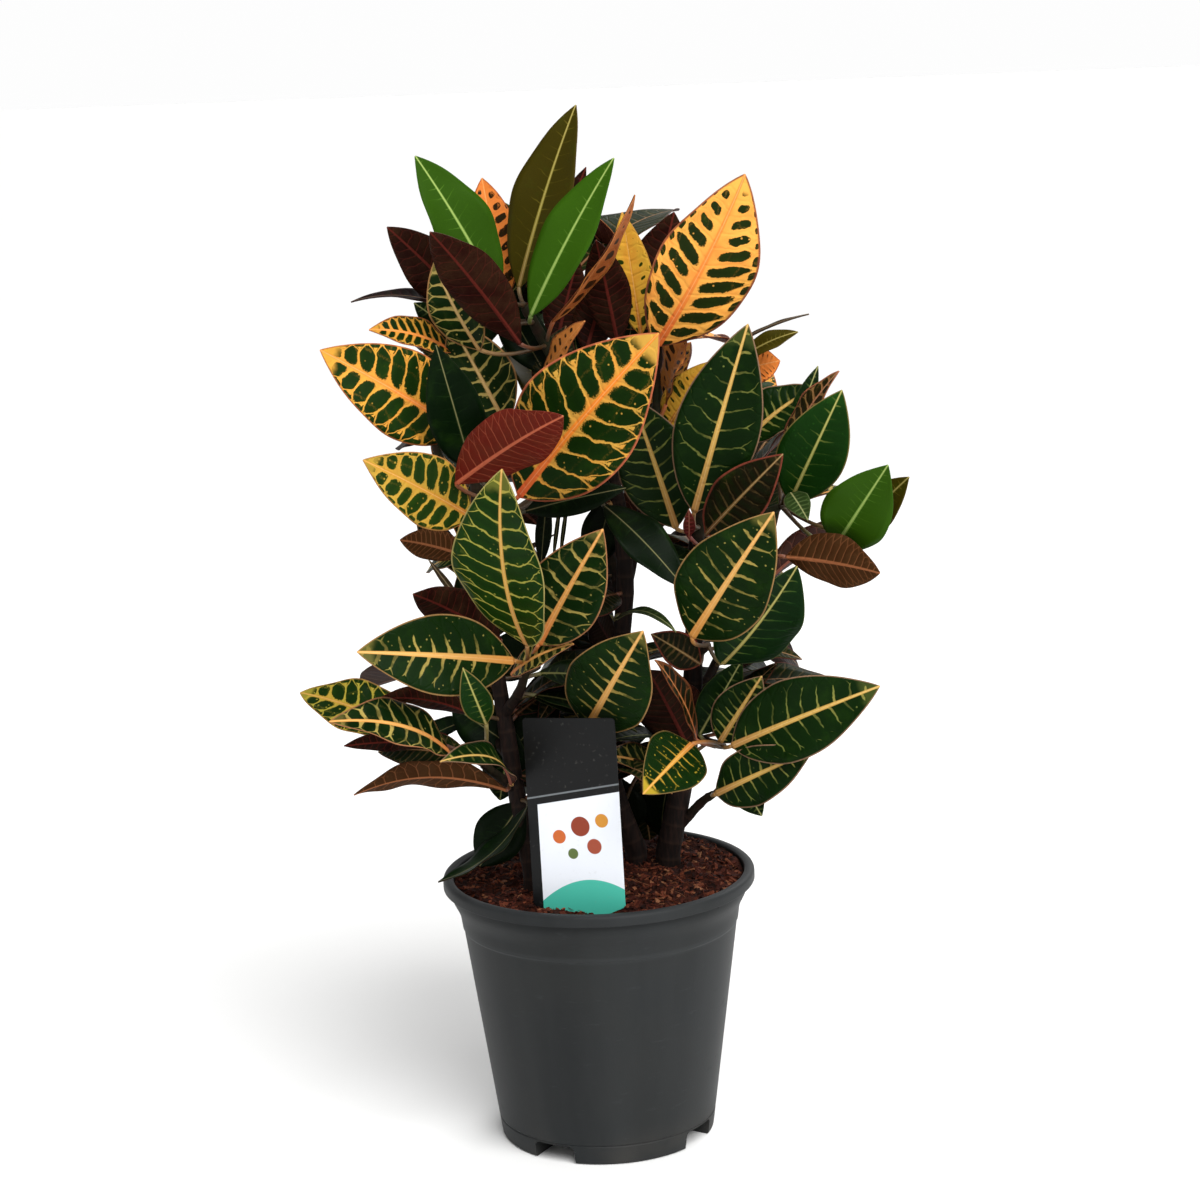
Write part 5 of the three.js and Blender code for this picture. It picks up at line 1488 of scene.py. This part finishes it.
beat = 0.5 - abs(count.do("FRACT") - 0.5)
fork = out.rise(0.6, 1.05) * 0.5
gap = abs(beat - fork) * spacing
vein_lot = lot((count + 0.5).do("FLOOR"))
fade = (out + wander * 0.9 + (vein_lot - 0.5) * 0.35).rise(vein_reach + 0.12, vein_reach - 0.18)
thick = vein_width * (1.25 - out * 0.75) * (fine * 0.7 + 0.65) * fade
thick = thick + (off * -0.35).do("EXPONENT") * vein_width * 0.7
clear = gold.rise(0.0, 0.02).do("MAXIMUM", patchy.rise(0.4, 0.56) * (vein_lot * 0.5 + 0.4) + 0.25)
veins = gap.rise(thick + 0.35, thick - 0.2) * fade.rise(0.05, 0.3) * clear

# %% Gold, net and specks
column = off / 14.0 + wander * 0.4 + (x > 0.0) * 7.0 + own * 40.0
cells = node(tree, "ShaderNodeTexVoronoi",
             {"Vector": joined(tree, column, count - 0.25, 0.0), "Scale": 1.0, "Randomness": 0.5},
             voronoi_dimensions="2D", feature="DISTANCE_TO_EDGE")
spill = gold * (lot(count.do("FLOOR")) * 0.8 + 0.7) + (patchy - 0.5) * gold * 1.8
spill = spill + t.rise(0.55, 1.0) * tip_gold * gold * 1.2
size = (1.14 - spill).do("MAXIMUM", 0.05)
between = count.do("FRACT") - 0.5
beside = (count + 0.5).do("FRACT") - 0.5
island = abs(between / (size * 0.44)) ** 3.0 + abs((out - 0.5) / (size * 0.41)) ** 3.0 + (fine - 0.5) * 1.1
islet = abs(beside / (size * 0.36)) ** 3.0 + abs((out - 0.92) / (size * 0.075)) ** 3.0 + (fine - 0.5) * 1.1
gilt = island.do("MINIMUM", islet).rise(0.8, 1.2) * gold.rise(0.02, 0.08)
lace = cells.rise(0.09, 0.02) * net * fine.rise(0.4, 0.56) * (out.rise(0.3, 0.75) + t.rise(0.5, 0.9)) * fade
dots = node(tree, "ShaderNodeTexVoronoi", {"Vector": flat, "Scale": 0.42, "Randomness": 1.0})
chosen = parted(dots["Color"])[0].rise(1.0 - specks * 0.6, 1.03 - specks * 0.6)
dotted = dots.rise(0.34, 0.18) * chosen

# %% Colour the blade
flesh, vein_tone = carried("leaf_flesh", "Color"), carried("leaf_vein", "Color")
rib_tone, blush = carried("leaf_midrib", "Color"), carried("leaf_blush", "Color")
edge_tone, under = carried("leaf_edge", "Color"), carried("leaf_under", "Color")
tone = mixed(beat.rise(0.1, 0.5) * vein_width.rise(0.1, 0.5) * 0.3 + fine * 0.2, flesh, paint("0a1c06"))
tone = mixed(patchy.rise(0.5, 0.8) * 0.14, tone, paint("34580f"))
blend = (gold + tip_gold * 0.4) * patchy.rise(0.4, 0.7) * 0.8 + (off * -0.3).do("EXPONENT") * 0.5
warm = mixed(blend, vein_tone, rib_tone)
tone = mixed(gilt, tone, warm)
tone = mixed((lace * 0.75).do("MINIMUM", 1.0), tone, warm)
tone = mixed(dotted * 0.75, tone, vein_tone)
tone = mixed(veins * (0.75 + fine * 0.25), tone, warm)
tone = mixed((t.rise(0.84, 0.97) + (patchy - 0.5)).rise(0.2, 0.7) * tip_gold, tone, vein_tone)
tone = mixed((half * (1.0 - out)).rise(edge_width + 0.25, edge_width * 0.4) * 0.85, tone, edge_tone)
rib_here = rib_width * (1.0 - t * 0.8) + 0.2
rib = off.rise(rib_here + 0.35, rib_here - 0.25)
tone = mixed(rib, tone, mixed((t + patchy * 0.3).rise(0.15, 0.6), blush, rib_tone))
tone = mixed(rib * off.rise(0.5, 0.0) * 0.2, tone, paint("fbe0a8"))

line = gap.rise(0.55, 0.1) * (1.0 - out * 0.5)
back = mixed(patchy.rise(0.3, 0.7) * 0.4, under, mixed(fine, under, paint("4e3a22")))
back = mixed((line * 0.45 + lace * 0.3).do("MINIMUM", 1.0), back, carried("leaf_undervein", "Color"))
back = mixed(off.rise(rib_here * 1.2 + 0.4, rib_here * 1.2 - 0.3), back, carried("leaf_undervein", "Color"))
face_up = layer > 0.0
tone = mixed(face_up, back, tone)
# Painted shade: leaf parts close to the plant's upright axis and below about half a metre are darkened
# towards near black, standing in for the shade inside the bush.
px, py, pz = parted(object_place(tree))
shade = (px * px + py * py).do("SQRT").rise(0.1, 0.03) * pz.rise(0.58, 0.5)
tone = mixed(shade * 0.6, tone, paint("0a0906"))
swell = (1.0 - gap.rise(1.6, 0.0)) * 0.5 * vein_width.rise(0.05, 0.6) + fine * 0.16 - rib * 0.3
feed(tree, surface, Base_Color=tone, Roughness=0.54 - face_up * 0.18 + fine * 0.14 + gilt * 0.04,
     Normal=bumped(tree, swell, 0.0009, 0.55))
surface.inputs["Specular IOR Level"].default_value = 0.045

# %% [markdown]
# A stalk is coloured like its midrib's foot, browner where it leaves the wood, and finely grooved.

# %% Stalk finish
stalk_finish, tree, surface = new_finish("Croton_stalk")
_, s, _ = parted(carried("leaf_place"))
groove = noise(tree, object_place(tree), 600.0, 3)
tone = mixed(groove, paint("33230f"), paint("4a361a"))
tone = mixed(s.rise(0.25, 1.0) * 0.7, tone, carried("leaf_blush", "Color"))
tone = mixed(groove.rise(0.5, 0.7) * 0.35, tone, paint("6b4a26"))
feed(tree, surface, Base_Color=tone, Roughness=0.42 + groove * 0.2, Normal=bumped(tree, groove, 0.0003, 0.5))

# %% Grow the leaves
grown = leaf_tree(blade_finish, stalk_finish)
for name, plan in STEMS.items():
    for kind, sizes in (("leaves", {}), ("inner", {"Along": 29, "Across": 9})):
        leaves = new_piece(name.replace("_stem", "_" + kind), seed_points(name, plan[kind]))
        grow(leaves, grown, **sizes)
        for helper in SHAPING + ("cut",):
            leaves.data.attributes.remove(leaves.data.attributes[helper])
        finish_piece(leaves, [name])


# %% [markdown]
# ## The floor's finish and the sky
# The floor is only there to catch the shadow. It is a plain warm white with a faint mottling. The sky
# takes its brightness from the height of the direction looked in: white at the horizon, grey overhead.

# %% Floor and sky
floor_finish, tree, surface = new_finish("Floor")
mottle = noise(tree, object_place(tree), 3.0, 4)
feed(tree, surface, Base_Color=mixed(mottle.rise(0.3, 0.7), paint("fafaf9"), paint("fcfcfb")),
     Roughness=0.6 + mottle * 0.2)
floor.data.materials.append(floor_finish)

sky = bpy.data.worlds.new("daylight")
bpy.context.scene.world = sky
sky.use_nodes = True
tree, surface = sky.node_tree, sky.node_tree.nodes["Background"]
_, _, up = parted(node(tree, "ShaderNodeTexCoord")["Generated"])
light = 0.985 - abs(up).rise(0.1, 0.5) * 0.68
feed(tree, surface, Color=joined(tree, light, light, light))
bpy.context.scene.view_settings.view_transform = "Standard"
